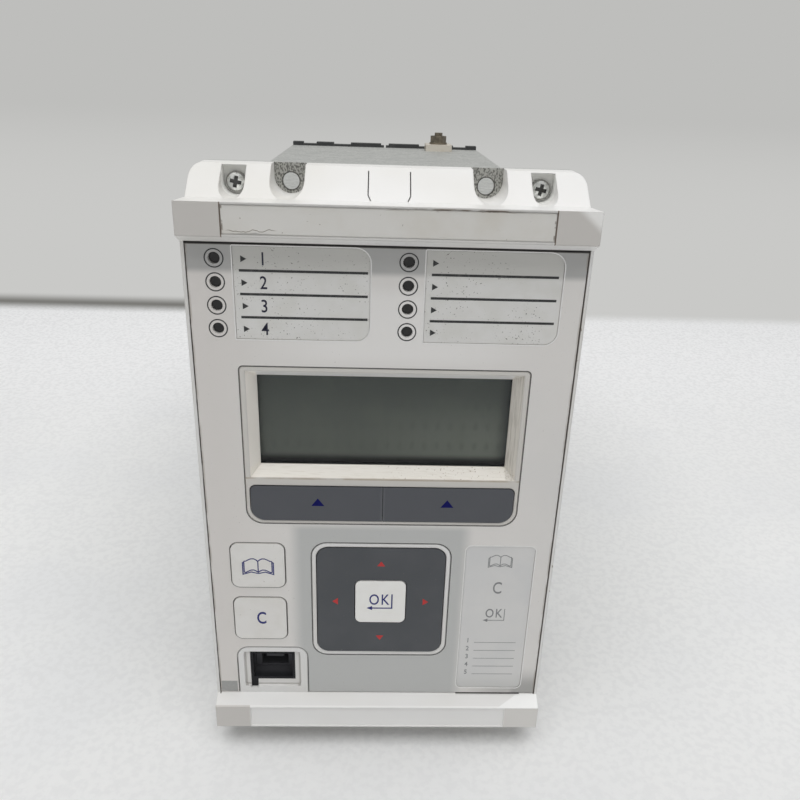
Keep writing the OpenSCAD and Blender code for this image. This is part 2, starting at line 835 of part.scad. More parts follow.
module terminal_places() {
  for (s = [-1, 1], x = col_x, i = [1:term_rows])
    translate([s * x, block_face, (i - 0.5 - term_rows / 2) * term_pitch]) children();
}

module terminal_tabs() color("Goldenrod") terminal_places() difference() {
  box([-5.2, 5.2], [0, tab_t], [-3.6, 3.6]);
  rod(0, 0, -1, 2, term_d);
}

module terminal_screws() color("Silver") terminal_places() difference() {
  union() {
    rod(0, 0, tab_t, tab_t + term_head_h, term_head_d);
    rod(0, 0, 0.3 - term_deep, tab_t + 0.5, term_d - 2 * screw_fit);
  }
  box([-4, 4], [tab_t + term_head_h - 1, tab_t + term_head_h + 1], [-0.5, 0.5]);
}

module block_screws() color("Silver") for (s = [-1, 1], z = block_screw_z) difference() {
  union() {
    rod(s * block_screw_x, z, block_face, block_face + 2, 5.6);
    rod(s * block_screw_x, z, rear_y - 3, block_face + 0.5, screw_d - 2 * screw_fit);
  }
  for (a = [0, 90]) translate([s * block_screw_x, block_face + 2, z]) rotate([0, a, 0])
    cube([3.2, 2, 0.8], center = true);
}

/* earth terminal */

module earth_tab() color("Silver") difference() {
  box([earth_x - earth_w / 2, earth_x + earth_w / 2], [earth_y - earth_len / 2, earth_y + earth_len / 2],
    [ch, ch + earth_rise]);
  box([earth_x - earth_w / 2 - 1, earth_x + earth_w / 2 + 1],
    [earth_y - earth_len / 2 + sheet, earth_y + earth_len / 2 - sheet], [ch - 1, ch + earth_rise - sheet]);
  translate([earth_x, earth_y, ch]) cylinder(d = stud_d + 0.2, h = 10);
}

module earth_stud() color("DarkGoldenrod") translate([earth_x, earth_y, 0]) {
  z = ch + earth_rise - sheet;
  translate([0, 0, z - 1]) cylinder(d = 7, h = 1);
  translate([0, 0, z - 0.5]) cylinder(d = stud_d, h = stud_top - z + 0.5);
}

module earth_nut() color("DarkGoldenrod") translate([earth_x, earth_y, ch + earth_rise]) difference() {
  union() {
    cylinder(d = 9, h = washer_t);
    cylinder(d = nut_af / cos(30), h = washer_t + nut_t, $fn = 6);
  }
  translate([0, 0, -1]) cylinder(d = stud_d + 2 * screw_fit, h = 10);
}

/* cradle and boards */

module cradle_plate() {
  z0 = ch - 2 * sheet;
  box([-cradle_x, cradle_x], [cradle_y0, cradle_y1], [z0, z0 + sheet]);
  for (s = [-1, 1]) side_box(s, cradle_x - sheet, cradle_x, [cradle_y0, cradle_y1],
    [z0 - cradle_fold, z0 + 0.2]);
}

module cradle_top() color("LightSteelBlue") cradle_plate();

module cradle_base() color("LightSteelBlue") mirror([0, 0, 1]) cradle_plate();

module card_guides() color("Beige") for (m = [0, 1], x = conn_x) mirror([0, 0, m]) difference() {
  box([x - 3, x + 3], [card_y0 - 4, card_y1 - 2], [ch - 2 * sheet - guide_h, ch - 2 * sheet]);
  box([x - pcb_t / 2 - 0.15, x + pcb_t / 2 + 0.15], [card_y0 - 5, card_y1], [0, guide_floor]);
}

module card_board(x) {
  box([x - pcb_t / 2, x + pcb_t / 2], [card_y0, card_y1], [-guide_floor, guide_floor]);
}

module main_board() color("ForestGreen") card_board(conn_x[0]);

module io_board() color("ForestGreen") card_board(conn_x[1]);

module power_board() color("ForestGreen") card_board(conn_x[2]);

module main_chips() color("Black") {
  x = conn_x[0] + pcb_t / 2;
  box([x, x + chip_t], [stage_1 - chip_w / 2, stage_1 + chip_w / 2], [-chip_w / 2, chip_w / 2]);
  for (z = mem_z) box([x, x + mem_t], [stage_1 - mem_w / 2, stage_1 + mem_w / 2],
    [z - mem_h / 2, z + mem_h / 2]);
}

module power_transformer() color("Goldenrod") {
  x = conn_x[2] - pcb_t / 2;
  box([x - coil_out, x], [stage_1 - coil_w / 2, stage_1 + coil_w / 2],
    [coil_z - coil_h / 2, coil_z + coil_h / 2]);
}

module capacitors() color("SteelBlue") {
  x = conn_x[2] - pcb_t / 2;
  for (i = [0:2]) rod_x(stage_1, can_z + i * can_pitch, x - can_out, x, can_d);
}

module heat_sink() color("Silver") {
  x = conn_x[2] - pcb_t / 2;
  z = [sink_z - sink_h / 2, sink_z + sink_h / 2];
  y = stage_3 - sink_w / 2;
  box([x - sink_t, x], [y, y + sink_w], z);
  for (i = [0:5]) box([x - sink_out, x - sink_t + eps],
    [y + 0.5 + i * sink_pitch, y + 0.5 + i * sink_pitch + sink_fin], z);
}

module output_relays() color("Black") {
  x = conn_x[1] + pcb_t / 2;
  for (i = [0:7]) {
    z = (i - 3.5) * relay_pitch;
    box([x, x + relay_out], [stage_2 - relay_h / 2, stage_2 + relay_h / 2],
      [z - relay_h / 2, z + relay_h / 2]);
  }
}

module ct_places() {
  for (i = [0:3]) translate([conn_x[1] - pcb_t / 2, stage_3, (i - 1.5) * ct_pitch]) children();
}

module ct_cores() color("DimGray") ct_places() difference() {
  box([-ct_out, 0], [-ct_w / 2, ct_w / 2], [-ct_h / 2, ct_h / 2]);
  for (s = [-1, 1]) box([-ct_out - 1, 1], [s * ct_leg - ct_slot / 2, s * ct_leg + ct_slot / 2],
    [-ct_slot_h / 2, ct_slot_h / 2]);
}

module ct_windings() color("Chocolate") ct_places() for (s = [-1, 1]) {
  w = ct_slot / 2 - 0.2;
  box([1 - ct_out, 0], [s * ct_leg - w, s * ct_leg + w], [0.2 - ct_slot_h / 2, ct_slot_h / 2 - 0.2]);
}

module board_connectors() color("Black") {
  for (x = conn_x) box([x - conn_w / 2, x + conn_w / 2], [card_y1, case_len], [-conn_h / 2, conn_h / 2]);
}

module ribbon_headers() color("Black") {
  x = conn_x[0] + pcb_t / 2;
  y = stage_1 - chip_w / 2 - 8;
  z = [-header_h / 2, header_h / 2];
  box([x, x + header_out], [board_back, board_back + header_t], z);
  box([x, x + header_out], [y - header_t, y], z);
}

module ribbon_cable() color("LightGray") {
  x = conn_x[0] + pcb_t / 2 + header_out / 2;
  y = stage_1 - chip_w / 2 - 8;
  box([x, x + cable_t], [board_back + header_t, y - header_t], [-cable_w / 2, cable_w / 2]);
}

case_tray();
case_lid();
case_rivets();
rear_plate();
terminal_block_left();
terminal_block_right();
terminal_tabs();
terminal_screws();
block_screws();
earth_tab();
earth_stud();
earth_nut();
front_moulding();
overlay();
display_window();
lcd_frame();
lcd_panel();
lcd_diffuser();
hot_key_left();
hot_key_right();
read_key();
clear_key();
ok_key();
nav_pad();
nav_ring();
led_lenses();
led_card_left();
led_card_right();
info_card();
rating_label();
usb_bezel();
usb_shell();
usb_insert();
front_board();
key_switches();
board_screws();
retaining_screws();
cradle_base();
cradle_top();
card_guides();
main_board();
power_board();
io_board();
main_chips();
power_transformer();
capacitors();
heat_sink();
output_relays();
ct_cores();
ct_windings();
board_connectors();
ribbon_headers();
ribbon_cable();
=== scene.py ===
# %% [markdown]
# # A protection relay for a switchgear panel
# The relay is a tall narrow box. Its white moulded front stays outside the panel, and a folded steel case
# goes through the cut-out behind it. The solid model gives every piece its true shape and place, so this
# lesson adds what a solid model can't: finishes, printing, paper, wear, light and a camera.

# %% Load the solid model
import math

import bmesh
import bpy
from mathutils import Matrix, Vector


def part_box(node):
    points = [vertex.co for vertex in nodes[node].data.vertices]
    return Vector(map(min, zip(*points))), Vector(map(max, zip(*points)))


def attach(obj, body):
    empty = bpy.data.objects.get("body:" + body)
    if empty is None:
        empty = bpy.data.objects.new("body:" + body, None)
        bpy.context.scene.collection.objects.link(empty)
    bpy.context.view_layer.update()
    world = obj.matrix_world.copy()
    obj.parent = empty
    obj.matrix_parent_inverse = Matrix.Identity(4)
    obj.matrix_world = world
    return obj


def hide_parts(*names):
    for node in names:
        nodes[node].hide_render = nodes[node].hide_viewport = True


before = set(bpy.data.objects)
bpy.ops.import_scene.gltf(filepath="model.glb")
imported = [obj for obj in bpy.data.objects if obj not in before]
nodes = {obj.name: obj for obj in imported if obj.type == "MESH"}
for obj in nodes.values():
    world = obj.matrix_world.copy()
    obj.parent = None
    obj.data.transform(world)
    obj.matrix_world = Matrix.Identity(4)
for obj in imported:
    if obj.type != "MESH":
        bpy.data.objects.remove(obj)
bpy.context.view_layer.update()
mm = 0.001

# %% [markdown]
# The photographer stood close, a little above the front and almost in line with it. A near viewpoint makes
# the front taper downwards, so the camera's place matters as much as its angle. The place below was found by
# matching corners of the front, and the three turns are given as pitch, yaw and roll because a person can
# read those.

# %% Camera
def into_scene(name, data):
    """A new object in the scene."""
    new = bpy.data.objects.new(name, data)
    bpy.context.scene.collection.objects.link(new)
    return new


eye = Vector((-2.6, -209.0, 109.15)) * mm
pitch, yaw, roll = (math.radians(angle) for angle in (22.97, 2.04, -1.84))
look = Vector((math.sin(yaw) * math.cos(pitch), math.cos(yaw) * math.cos(pitch), -math.sin(pitch)))
level_right = look.cross(Vector((0, 0, 1))).normalized()
level_down = look.cross(level_right)
right = math.cos(roll) * level_right + math.sin(roll) * level_down
down = -math.sin(roll) * level_right + math.cos(roll) * level_down

lens = bpy.data.cameras.new("photographer")
lens.sensor_fit = "HORIZONTAL"
lens.sensor_width = 36.0
lens.lens = 33.75
lens.clip_start = 0.01
camera = into_scene("photographer", lens)
turn = Matrix((right, -down, -look)).transposed().to_4x4()
camera.matrix_world = Matrix.Translation(eye) @ turn
bpy.context.scene.camera = camera
bpy.context.scene.view_settings.view_transform = "Standard"
face_middle = Vector((0.0, -23.7, 0.0)) * mm
print("camera", round((eye - face_middle).length / mm), "mm from the face")

# %% [markdown]
# Every finish on the relay is a Principled shader with a few textures on it. The same small steps come back
# all the time: take a coordinate, make a noise of a known grain size, turn it into a mask, and mix two
# colours with it. A short class keeps those steps readable. Sizes are in millimetres, because that is how one
# thinks about the grain of a plastic.

# %% A finish and its textures
def ink(red, green, blue):
    """A screen colour from 0 to 255 as the linear colour that a shader works with."""
    def linear(level):
        share = level / 255
        return share / 12.92 if share <= 0.04045 else ((share + 0.055) / 1.055) ** 2.4
    return (linear(red), linear(green), linear(blue), 1.0)


class Finish:
    """A Principled shader, and the textures that colour and shape it."""

    def __init__(self, name, base, rough, metal=0.0):
        self.material = bpy.data.materials.new(name)
        self.material.use_nodes = True
        self.tree = self.material.node_tree
        self.shader = self.tree.nodes["Principled BSDF"]
        self.base = base
        self.set("Base Color", base)
        self.set("Roughness", rough)
        self.set("Metallic", metal)
        self.place = self.node("TexCoord").outputs["Object"]
        self.x, self.y, self.z = self.node("SeparateXYZ", {0: self.place}).outputs

    def set(self, socket, value):
        """A plain value goes on the socket itself, and a texture is linked to it."""
        if isinstance(value, bpy.types.NodeSocket):
            self.tree.links.new(value, self.shader.inputs[socket])
        else:
            self.shader.inputs[socket].default_value = value

    def node(self, kind, sockets=None, **settings):
        new = self.tree.nodes.new("ShaderNode" + kind)
        for key, value in settings.items():
            setattr(new, key, value)
        for key, value in (sockets or {}).items():
            if isinstance(value, bpy.types.NodeSocket):
                self.tree.links.new(value, new.inputs[key])
            else:
                new.inputs[key].default_value = value
        return new

    def grain(self, size, detail=2.0, stretch=(1, 1, 1)):
        """Noise whose blotches are about size millimetres wide, stretched along an axis where asked."""
        scaled = self.node("Mapping", {"Vector": self.place, "Scale": [1 / s for s in stretch]})
        noise = self.node("TexNoise", {"Vector": scaled.outputs[0], "Scale": 1 / (size * mm),
                                       "Detail": detail})
        return noise.outputs["Fac"]

    def cells(self, size):
        """Irregular crystals about size millimetres wide, each with a grey level of its own."""
        cell = self.node("TexVoronoi", {"Vector": self.place, "Scale": 1 / (size * mm)})
        return self.node("SeparateColor", {0: cell.outputs["Color"]}).outputs[0]

    def from_axis(self, x, z):
        """Distance from the four front-to-rear axes that lie x and z millimetres from the middle."""
        aside = [self.math("SUBTRACT", self.math("ABSOLUTE", place), middle * mm)
                 for place, middle in ((self.x, x), (self.z, z))]
        squares = [self.math("POWER", leg, 2.0) for leg in aside]
        return self.math("SQRT", self.math("ADD", *squares))

    def waves(self, value, pitch):
        """A sine along a coordinate, with one wave every pitch millimetres."""
        return self.math("SINE", self.math("MULTIPLY", value, math.tau / (pitch * mm)))

    def math(self, operation, a, b=0.0):
        return self.node("Math", {0: a, 1: b}, operation=operation).outputs[0]

    def rise(self, value, low, high):
        """0 below low, 1 above high, smooth between them."""
        return self.node("MapRange", {"Value": value, "From Min": low, "From Max": high},
                         interpolation_type="SMOOTHSTEP").outputs["Result"]

    def fall(self, value, low, high):
        return self.math("SUBTRACT", 1.0, self.rise(value, low, high))

    def above(self, value, low, high):
        """As rise, with both limits in millimetres."""
        return self.rise(value, low * mm, high * mm)

    def below(self, value, low, high):
        return self.fall(value, low * mm, high * mm)

    def band(self, value, low, high, soft=0.1):
        """1 between low and high, fading over soft on either side of each, all in millimetres."""
        up = self.above(value, low - soft, low + soft)
        down = self.below(value, high - soft, high + soft)
        return self.math("MULTIPLY", up, down)

    def area(self, left, right, low, high, soft=0.1):
        """1 inside a rectangle of the front, in millimetres."""
        return self.both(self.band(self.x, left, right, soft), self.band(self.z, low, high, soft))

    def both(self, *masks):
        """1 where every mask is 1."""
        total = masks[0]
        for mask in masks[1:]:
            total = self.math("MULTIPLY", total, mask)
        return total

    def either(self, *masks):
        """1 where at least one mask is 1."""
        total = masks[0]
        for mask in masks[1:]:
            total = self.math("MAXIMUM", total, mask)
        return total

    def mix(self, mask, under, over):
        new = self.node("Mix", {0: mask, 6: under, 7: over}, data_type="RGBA")
        return new.outputs[2]

    def paint(self, mask, colour, strength=1.0):
        """Lays a colour over what is there already, where the mask says so."""
        if strength != 1.0:
            mask = self.math("MULTIPLY", mask, strength)
        self.base = self.mix(mask, self.base, colour)
        self.set("Base Color", self.base)

    def mottle(self, size, detail, low, high, colour, strength=1.0, stretch=(1, 1, 1)):
        """Blotches of a colour where noise climbs from low to high. High limits leave only a few specks."""
        self.paint(self.rise(self.grain(size, detail, stretch), low, high), colour, strength)

    def vary_gloss(self, value, low, high):
        spread = self.node("MapRange", {"Value": value, "To Min": low, "To Max": high})
        self.set("Roughness", spread.outputs["Result"])

    def skin(self, size, detail, depth, strength, edge=0.0):
        """The fine grain of a moulded or rolled surface."""
        self.relief(self.grain(size, detail), depth, strength, edge)

    def relief(self, value, depth, strength=1.0, edge=0.0):
        """Raises the surface by a texture and softens sharp edges; depth and edge are in millimetres."""
        bump = self.node("Bump", {"Height": value, "Distance": depth * mm, "Strength": strength})
        if edge:
            soft = self.node("Bevel", {"Radius": edge * mm}, samples=4)
            self.tree.links.new(soft.outputs[0], bump.inputs["Normal"])
        self.set("Normal", bump.outputs[0])


def dress(finish, *names):
    for name in names:
        slots = nodes[name].data.materials
        slots.clear()
        slots.append(finish.material)
    print(finish.material.name, "on", ", ".join(names))

# %% [markdown]
# The front is one moulding in a warm white plastic, with a fine spark-eroded grain. Moulded edges are never
# knife sharp, so a Bevel node rounds them in the shading. Years of handling have left dirt at the ends of the
# label and along the sides of the film, streaks round the display and brown chips on the right-hand edge.
# Light and shade are painted in as well: painted shadow in the groove above the film, in the card slot and in
# the socket pocket, painted light in the screw pockets and on the display's lower and left bevels, painted
# shade on its right bevel and the upper bar, painted light on the lower bar, and a painted highlight on one
# corner of each bar. A mask on the piece's own coordinates puts each of these where it is on the real front.

# %% White moulding
mould = Finish("white moulding", ink(236, 235, 233), 0.42)
across = mould.math("ABSOLUTE", mould.x)
upright = mould.math("ABSOLUTE", mould.z)
mould.mottle(28, 2.0, 0.35, 0.75, ink(229, 227, 222))

# painted shadow in the groove above the film, dirt along its sides, and dirt with a painted shadow line on
# the right
film_level = mould.band(mould.y, -24.2, -22.6, 0.2)
upper_half = mould.above(mould.z, 0, 10)
streaky = mould.rise(mould.grain(9.0, 4.0), 0.30, 0.55)
right_dirt_and_shadow = mould.band(mould.x, 49.95, 50.45, 0.05)
side_dirt_and_shadow = mould.either(mould.both(mould.band(across, 49.95, 50.35, 0.05), streaky), right_dirt_and_shadow)
top_gap_shadow = mould.both(mould.band(upright, 71.3, 72.05), upper_half, mould.below(across, 50.2, 50.4))
beside_film = mould.both(film_level, mould.below(upright, 71.9, 72.1))
mould.paint(mould.both(side_dirt_and_shadow, beside_film), ink(72, 62, 52), 0.85)
mould.paint(mould.both(top_gap_shadow, film_level), ink(36, 32, 28), 0.95)

# fronts of the two bars, with painted shade on the upper front and painted light on the lower front, their
# end blocks and the dirt round the label
bar_front = mould.below(mould.y, -27.6, -27.2)
label_ends = mould.band(across, 40.1, 40.4, 0.08)
label_top = mould.both(mould.band(upright, 81.2, 81.7), mould.band(mould.x, 2, 30, 4.0))
patchy = mould.rise(mould.grain(2.2, 5.0, (2.5, 1, 1)), 0.42, 0.60)
# painted shade on the upper bar's front, painted light on the lower bar's front
mould.paint(mould.both(bar_front, upper_half), ink(216, 214, 210), 0.7)
mould.paint(mould.both(bar_front, mould.below(mould.z, -10, 0)), ink(250, 249, 247), 0.8)
end_blocks = mould.both(bar_front, mould.above(across, 40.3, 40.6))
dull_ends = mould.either(upper_half, mould.below(mould.x, -10, 0))
mould.paint(end_blocks, ink(224, 221, 216), 0.85)
mould.paint(mould.both(end_blocks, dull_ends), ink(208, 204, 199), 0.8)
# painted highlight on the right end of the lower bar's ledge
low_ledge = mould.both(mould.band(mould.z, -74.0, -71.8, 0.05), mould.band(mould.y, -28.0, -23.7))
slanted = mould.math("ADD", mould.x, mould.math("MULTIPLY", mould.y, -1.67))
ledge_highlight = mould.both(low_ledge, mould.above(slanted, 84.1, 85.1))
mould.paint(ledge_highlight, ink(255, 255, 253), 0.95)
# painted highlight on the upper right corner of the upper bar's right end block
to_corner = mould.math("ADD", mould.x, mould.math("MULTIPLY", mould.z, 1.156))
corner_highlight = mould.both(end_blocks, mould.above(to_corner, 139.0, 142.6))
mould.paint(corner_highlight, ink(252, 251, 248), 0.95)
mould.paint(mould.both(label_top, bar_front, upper_half, patchy), ink(112, 88, 62), 0.8)
mould.paint(mould.both(label_ends, bar_front, upper_half), ink(104, 82, 60), 0.85)

# rim and bevels of the display recess, with painted light on the lower and left bevels and painted shade on
# the right bevel
in_frame = mould.both(mould.below(across, 38.5, 38.7), mould.band(mould.z, -8.5, 39.3))
flat_rim = mould.both(in_frame, mould.below(mould.y, -23.6, -23.4))
mould.paint(flat_rim, ink(212, 208, 201), 0.8)
funnel = mould.both(in_frame, mould.band(mould.y, -23.5, -19.0))
lower_bevel = mould.both(funnel, mould.below(mould.z, 9.0, 9.6))
# painted highlight over the lower bevel
mould.paint(lower_bevel, ink(255, 250, 240), 0.9)
side_bevels = mould.both(funnel, mould.above(across, 34.3, 34.8))
right_half = mould.above(mould.x, -5, 5)
# painted light on both side bevels, then painted shade on the right one
mould.paint(side_bevels, ink(250, 245, 236), 0.85)
mould.paint(mould.both(side_bevels, right_half), ink(222, 217, 208), 0.75)
worn_down = mould.rise(mould.grain(0.5, 4.0, (1, 1, 14)), 0.46, 0.66)
mould.paint(mould.both(side_bevels, right_half, worn_down), ink(166, 159, 146), 0.40)
# fine darker streaks across the lower bevel's painted highlight
fine_streaks = mould.rise(mould.grain(0.3, 4.0, (14, 1, 1)), 0.50, 0.72)
mould.paint(mould.both(lower_bevel, fine_streaks), ink(220, 211, 194), 0.35)
bevel_specks = mould.rise(mould.grain(0.55, 2.0), 0.66, 0.70)
mould.paint(mould.both(lower_bevel, right_half, bevel_specks), ink(142, 112, 78), 0.6)
recess_foot = mould.both(in_frame, mould.band(mould.z, 5.8, 6.3, 0.12))
mould.paint(mould.both(recess_foot, streaky), ink(168, 148, 122), 0.6)

# painted shadow in the slot of the key card, and painted shade in the pocket round the data socket
card_slot = mould.area(24.9, 45.5, -72.05, -71.2, 0.05)
# painted shadow on the floor of the card slot
mould.paint(mould.both(card_slot, mould.band(mould.y, -23.7, -21.5)), ink(46, 44, 42), 0.9)
data_pocket = mould.area(-42.1, -24.7, -69.1, -55.5)
pocket_floor = mould.area(-41.6, -25.2, -68.6, -56.0, 0.2)
pocket_edge_shade = mould.both(data_pocket, mould.math("SUBTRACT", 1.0, pocket_floor))
# painted shade on the pocket's floor, darker along its edge
mould.paint(data_pocket, ink(222, 219, 215), 0.5)
mould.paint(pocket_edge_shade, ink(180, 177, 172), 0.8)

# painted light in the screw pockets, and the chipped right flank
screw_pockets = mould.both(mould.band(across, 36.7, 43.3), mould.band(upright, 80.0, 88.3),
                           mould.band(mould.y, -9.0, -3.0, 0.5))
# painted light on the shaded walls of the screw pockets
mould.paint(screw_pockets, ink(255, 255, 252), 0.9)
right_flank = mould.above(mould.x, 49.9, 50.7)
chips = mould.both(mould.rise(mould.grain(1.6, 3.0, (1, 1, 3)), 0.66, 0.70), mould.below(mould.y, -20, -14))
mould.paint(mould.both(right_flank, chips), ink(132, 112, 90), 0.8)

mould.vary_gloss(mould.grain(9, 3.0), 0.34, 0.52)
mould.skin(0.35, 2.0, 0.012, 0.6, edge=0.35)
dress(mould, "front_moulding")

# %% [markdown]
# The film that covers the face is printed on its back and has a satin skin. Its light grey is broken by
# soft-edged zones: a printed darker panel below the display, painted shadow of the upper bar along the top,
# painted shade in the lower right corner and a painted highlight in the middle.
# Soft edges like these are hard to cut as geometry, so they are masks in the finish. A very fine relief makes
# the satin.

# %% Printed film
film = Finish("printed film", ink(233, 230, 226), 0.36)
film.mottle(40, 2.0, 0.40, 0.80, ink(228, 226, 223))
film.paint(film.below(film.x, -48, -26), ink(226, 221, 216), 0.6)
# painted shadow of the upper bar across the top of the film
bar_shadow = film.above(film.z, 63.4, 65.6)
film.paint(bar_shadow, ink(176, 176, 174), 0.9)
low_zone = film.both(film.band(film.x, -25.4, 25.0, 2.4), film.below(film.z, -11.0, -8.0))
film.paint(low_zone, ink(196, 197, 195), 0.95)
# painted shade in the lower right corner of the film
low_corner_shade = film.both(film.above(film.x, 25, 40), film.below(film.z, -70, -64))
film.paint(low_corner_shade, ink(186, 185, 182), 0.7)
outer_corner_shade = film.both(film.above(film.x, 41.5, 44), film.below(film.z, -69, -60))
film.paint(outer_corner_shade, ink(164, 163, 160), 0.7)
lit_middle = film.both(film.band(film.x, -24, 30, 14), film.band(film.z, 41, 60, 3))
film.paint(lit_middle, ink(244, 242, 239), 0.8)
hem = film.either(film.above(film.math("ABSOLUTE", film.x), 49.4, 49.95), film.above(film.z, 70.9, 71.4))
film.paint(film.both(hem, film.rise(film.grain(7, 4.0), 0.40, 0.65)), ink(140, 128, 112), 0.5)
film.mottle(0.6, 2.0, 0.73, 0.77, ink(170, 165, 158), 0.4)
# painted shadow of the upper bar along the film's top edge
film.paint(film.above(film.z, 71.1, 71.25), ink(44, 40, 36), 0.85)
film.vary_gloss(film.grain(6, 3.0), 0.30, 0.42)
film.skin(0.22, 1.0, 0.006, 0.5)
dress(film, "overlay")

# %% [markdown]
# Three paper cards show through the film: two beside the indicator lights and one for the keys. Paper is
# rougher than film, a touch yellow, and dust specks have crept in behind the film. Specks are the rare high
# peaks of a fine noise, so a steep threshold keeps only a few.

# %% Paper cards
card = Finish("paper card", ink(232, 231, 228), 0.62)
card.mottle(6, 4.0, 0.35, 0.7, ink(226, 225, 220))
# painted shadow of the upper bar across the top of the cards
card.paint(card.above(card.z, 63.4, 65.6), ink(206, 205, 200))
specks = card.rise(card.grain(0.45, 2.0), 0.67, 0.70)
card.paint(card.both(specks, card.rise(card.grain(9, 1.0), 0.40, 0.55)), ink(84, 76, 66), 0.8)
card.relief(card.grain(0.3, 3.0, (3, 1, 1)), 0.01, 0.5)
dress(card, "led_card_left", "led_card_right")

key_card = Finish("key card", ink(225, 224, 222), 0.50)
key_card.mottle(14, 3.0, 0.35, 0.7, ink(219, 219, 218))
# painted shade towards the foot of the key card
key_card.paint(key_card.below(key_card.z, -70, -62), ink(206, 206, 203), 0.7)
key_card.skin(0.3, 3.0, 0.008, 0.4)
dress(key_card, "info_card")

# %% [markdown]
# The display is a sandwich: a clear window, a dark grey-green glass, and a white diffuser behind. Switched
# off, the glass shows only faint rows of character cells. Two sine waves across the glass draw that grid, at
# a contrast so low that it is seen only from close by. Painted shading makes the glass darker towards the top
# and lighter at the lower right, painted shade darkens its right edge, and a painted shadow of the frame lies
# along its foot. A real window is coated against glare, and a low index of refraction stands in for that
# coat.

# %% Display
window = Finish("clear window", ink(250, 251, 250), 0.04)
window.set("Transmission Weight", 1.0)
window.set("IOR", 1.25)
window.vary_gloss(window.grain(5, 4.0), 0.02, 0.10)
dress(window, "display_window")

glass = Finish("display glass", ink(103, 108, 102), 0.30)
glass.set("Specular IOR Level", 0.2)
columns = glass.waves(glass.x, 3.55)
rows = glass.waves(glass.z, 6.2)
# painted shading: darker towards the top of the glass, lighter at its lower right
glass.paint(glass.above(glass.z, 14, 34), ink(86, 92, 88), 0.9)
lower_right = glass.both(glass.below(glass.z, 12, 32), glass.above(glass.x, -16, 28))
glass.paint(lower_right, ink(130, 135, 127), 0.8)
glass.paint(glass.rise(glass.math("ADD", columns, rows), 0.9, 1.6), ink(86, 92, 86), 0.25)
glass.mottle(12, 4.0, 0.45, 0.8, ink(112, 117, 108), 0.4)
# painted shade along the right edge of the glass
glass.paint(glass.above(glass.x, 31, 36), ink(58, 62, 66), 0.7)
# painted shadow of the frame along the foot of the glass
glass.paint(glass.below(glass.z, 9.0, 11.6), ink(12, 13, 16), 0.95)
dress(glass, "lcd_panel")

bezel = Finish("display frame metal", ink(150, 152, 154), 0.35, 1.0)
bezel.vary_gloss(bezel.grain(2, 3.0, (6, 1, 1)), 0.28, 0.46)
dress(bezel, "lcd_frame")
diffuser = Finish("diffuser plastic", ink(236, 238, 240), 0.55)
diffuser.paint(diffuser.grain(20), ink(226, 230, 234), 0.6)
dress(diffuser, "lcd_diffuser")

# %% [markdown]
# Under the film-like skin the keys are moulded caps. The wide pair below the display and the four-way pad are
# slate grey, the others are white. Fingers polish a key towards its middle, which is why the gloss changes in
# slow patches, while the moulding grain stays fine and even.

# %% Keys
slate = Finish("slate key", ink(74, 77, 81), 0.40)
slate.mottle(11, 3.0, 0.40, 0.75, ink(82, 84, 88), 0.7)
slate.mottle(0.8, 2.0, 0.70, 0.76, ink(122, 122, 120), 0.35)
on_pair = slate.above(slate.z, -12, -11)
slate.paint(on_pair, ink(84, 86, 92), 0.7)
# painted highlight on the key edges beside the seam between the wide keys
seam_highlights = slate.both(on_pair, slate.below(slate.math("ABSOLUTE", slate.x), 0.5, 0.8))
slate.paint(seam_highlights, ink(98, 100, 104), 0.5)
slate.vary_gloss(slate.grain(8, 2.0), 0.34, 0.50)
slate.skin(0.28, 2.0, 0.01, 0.5, edge=0.2)
dress(slate, "hot_key_left", "hot_key_right", "nav_pad")

pale_key = Finish("pale key", ink(238, 236, 232), 0.38)
pale_key.mottle(7, 3.0, 0.40, 0.8, ink(230, 227, 221), 0.8)
pale_key.mottle(1.1, 2.0, 0.73, 0.77, ink(176, 168, 156), 0.5)
pale_key.skin(0.28, 2.0, 0.008, 0.5, edge=0.2)
dress(pale_key, "read_key", "clear_key")

bright_key = Finish("bright key", ink(251, 250, 246), 0.34)
bright_key.mottle(6, 3.0, 0.45, 0.8, ink(244, 242, 236), 0.8)
bright_key.skin(0.28, 2.0, 0.008, 0.5, edge=0.2)
dress(bright_key, "ok_key")

rubber = Finish("pad ring rubber", ink(96, 97, 98), 0.75)
rubber.skin(0.4, 2.0, 0.02, 0.6)
dress(rubber, "nav_ring")

lens_dark = Finish("smoked light pipe", ink(30, 30, 30), 0.30)
lens_dark.mottle(0.9, 2.0, 0.50, 0.7, ink(48, 46, 43), 0.6)
lens_dark.skin(0.5, 2.0, 0.02, 0.4)
dress(lens_dark, "led_lenses")

# %% [markdown]
# The case is folded from galvanised sheet. Hot zinc freezes into flat crystals, the spangle, and each one
# reflects a little differently. A Voronoi texture gives every crystal its own grey, and a smaller mottling
# on top of it makes the dull, blotchy look of old zinc. The fasteners are bright zinc, which is smoother.

# %% Galvanised sheet and zinc
spangle = 5.5
hole_x, screw_x, hole_z = 26.1, 40.0, 84.0


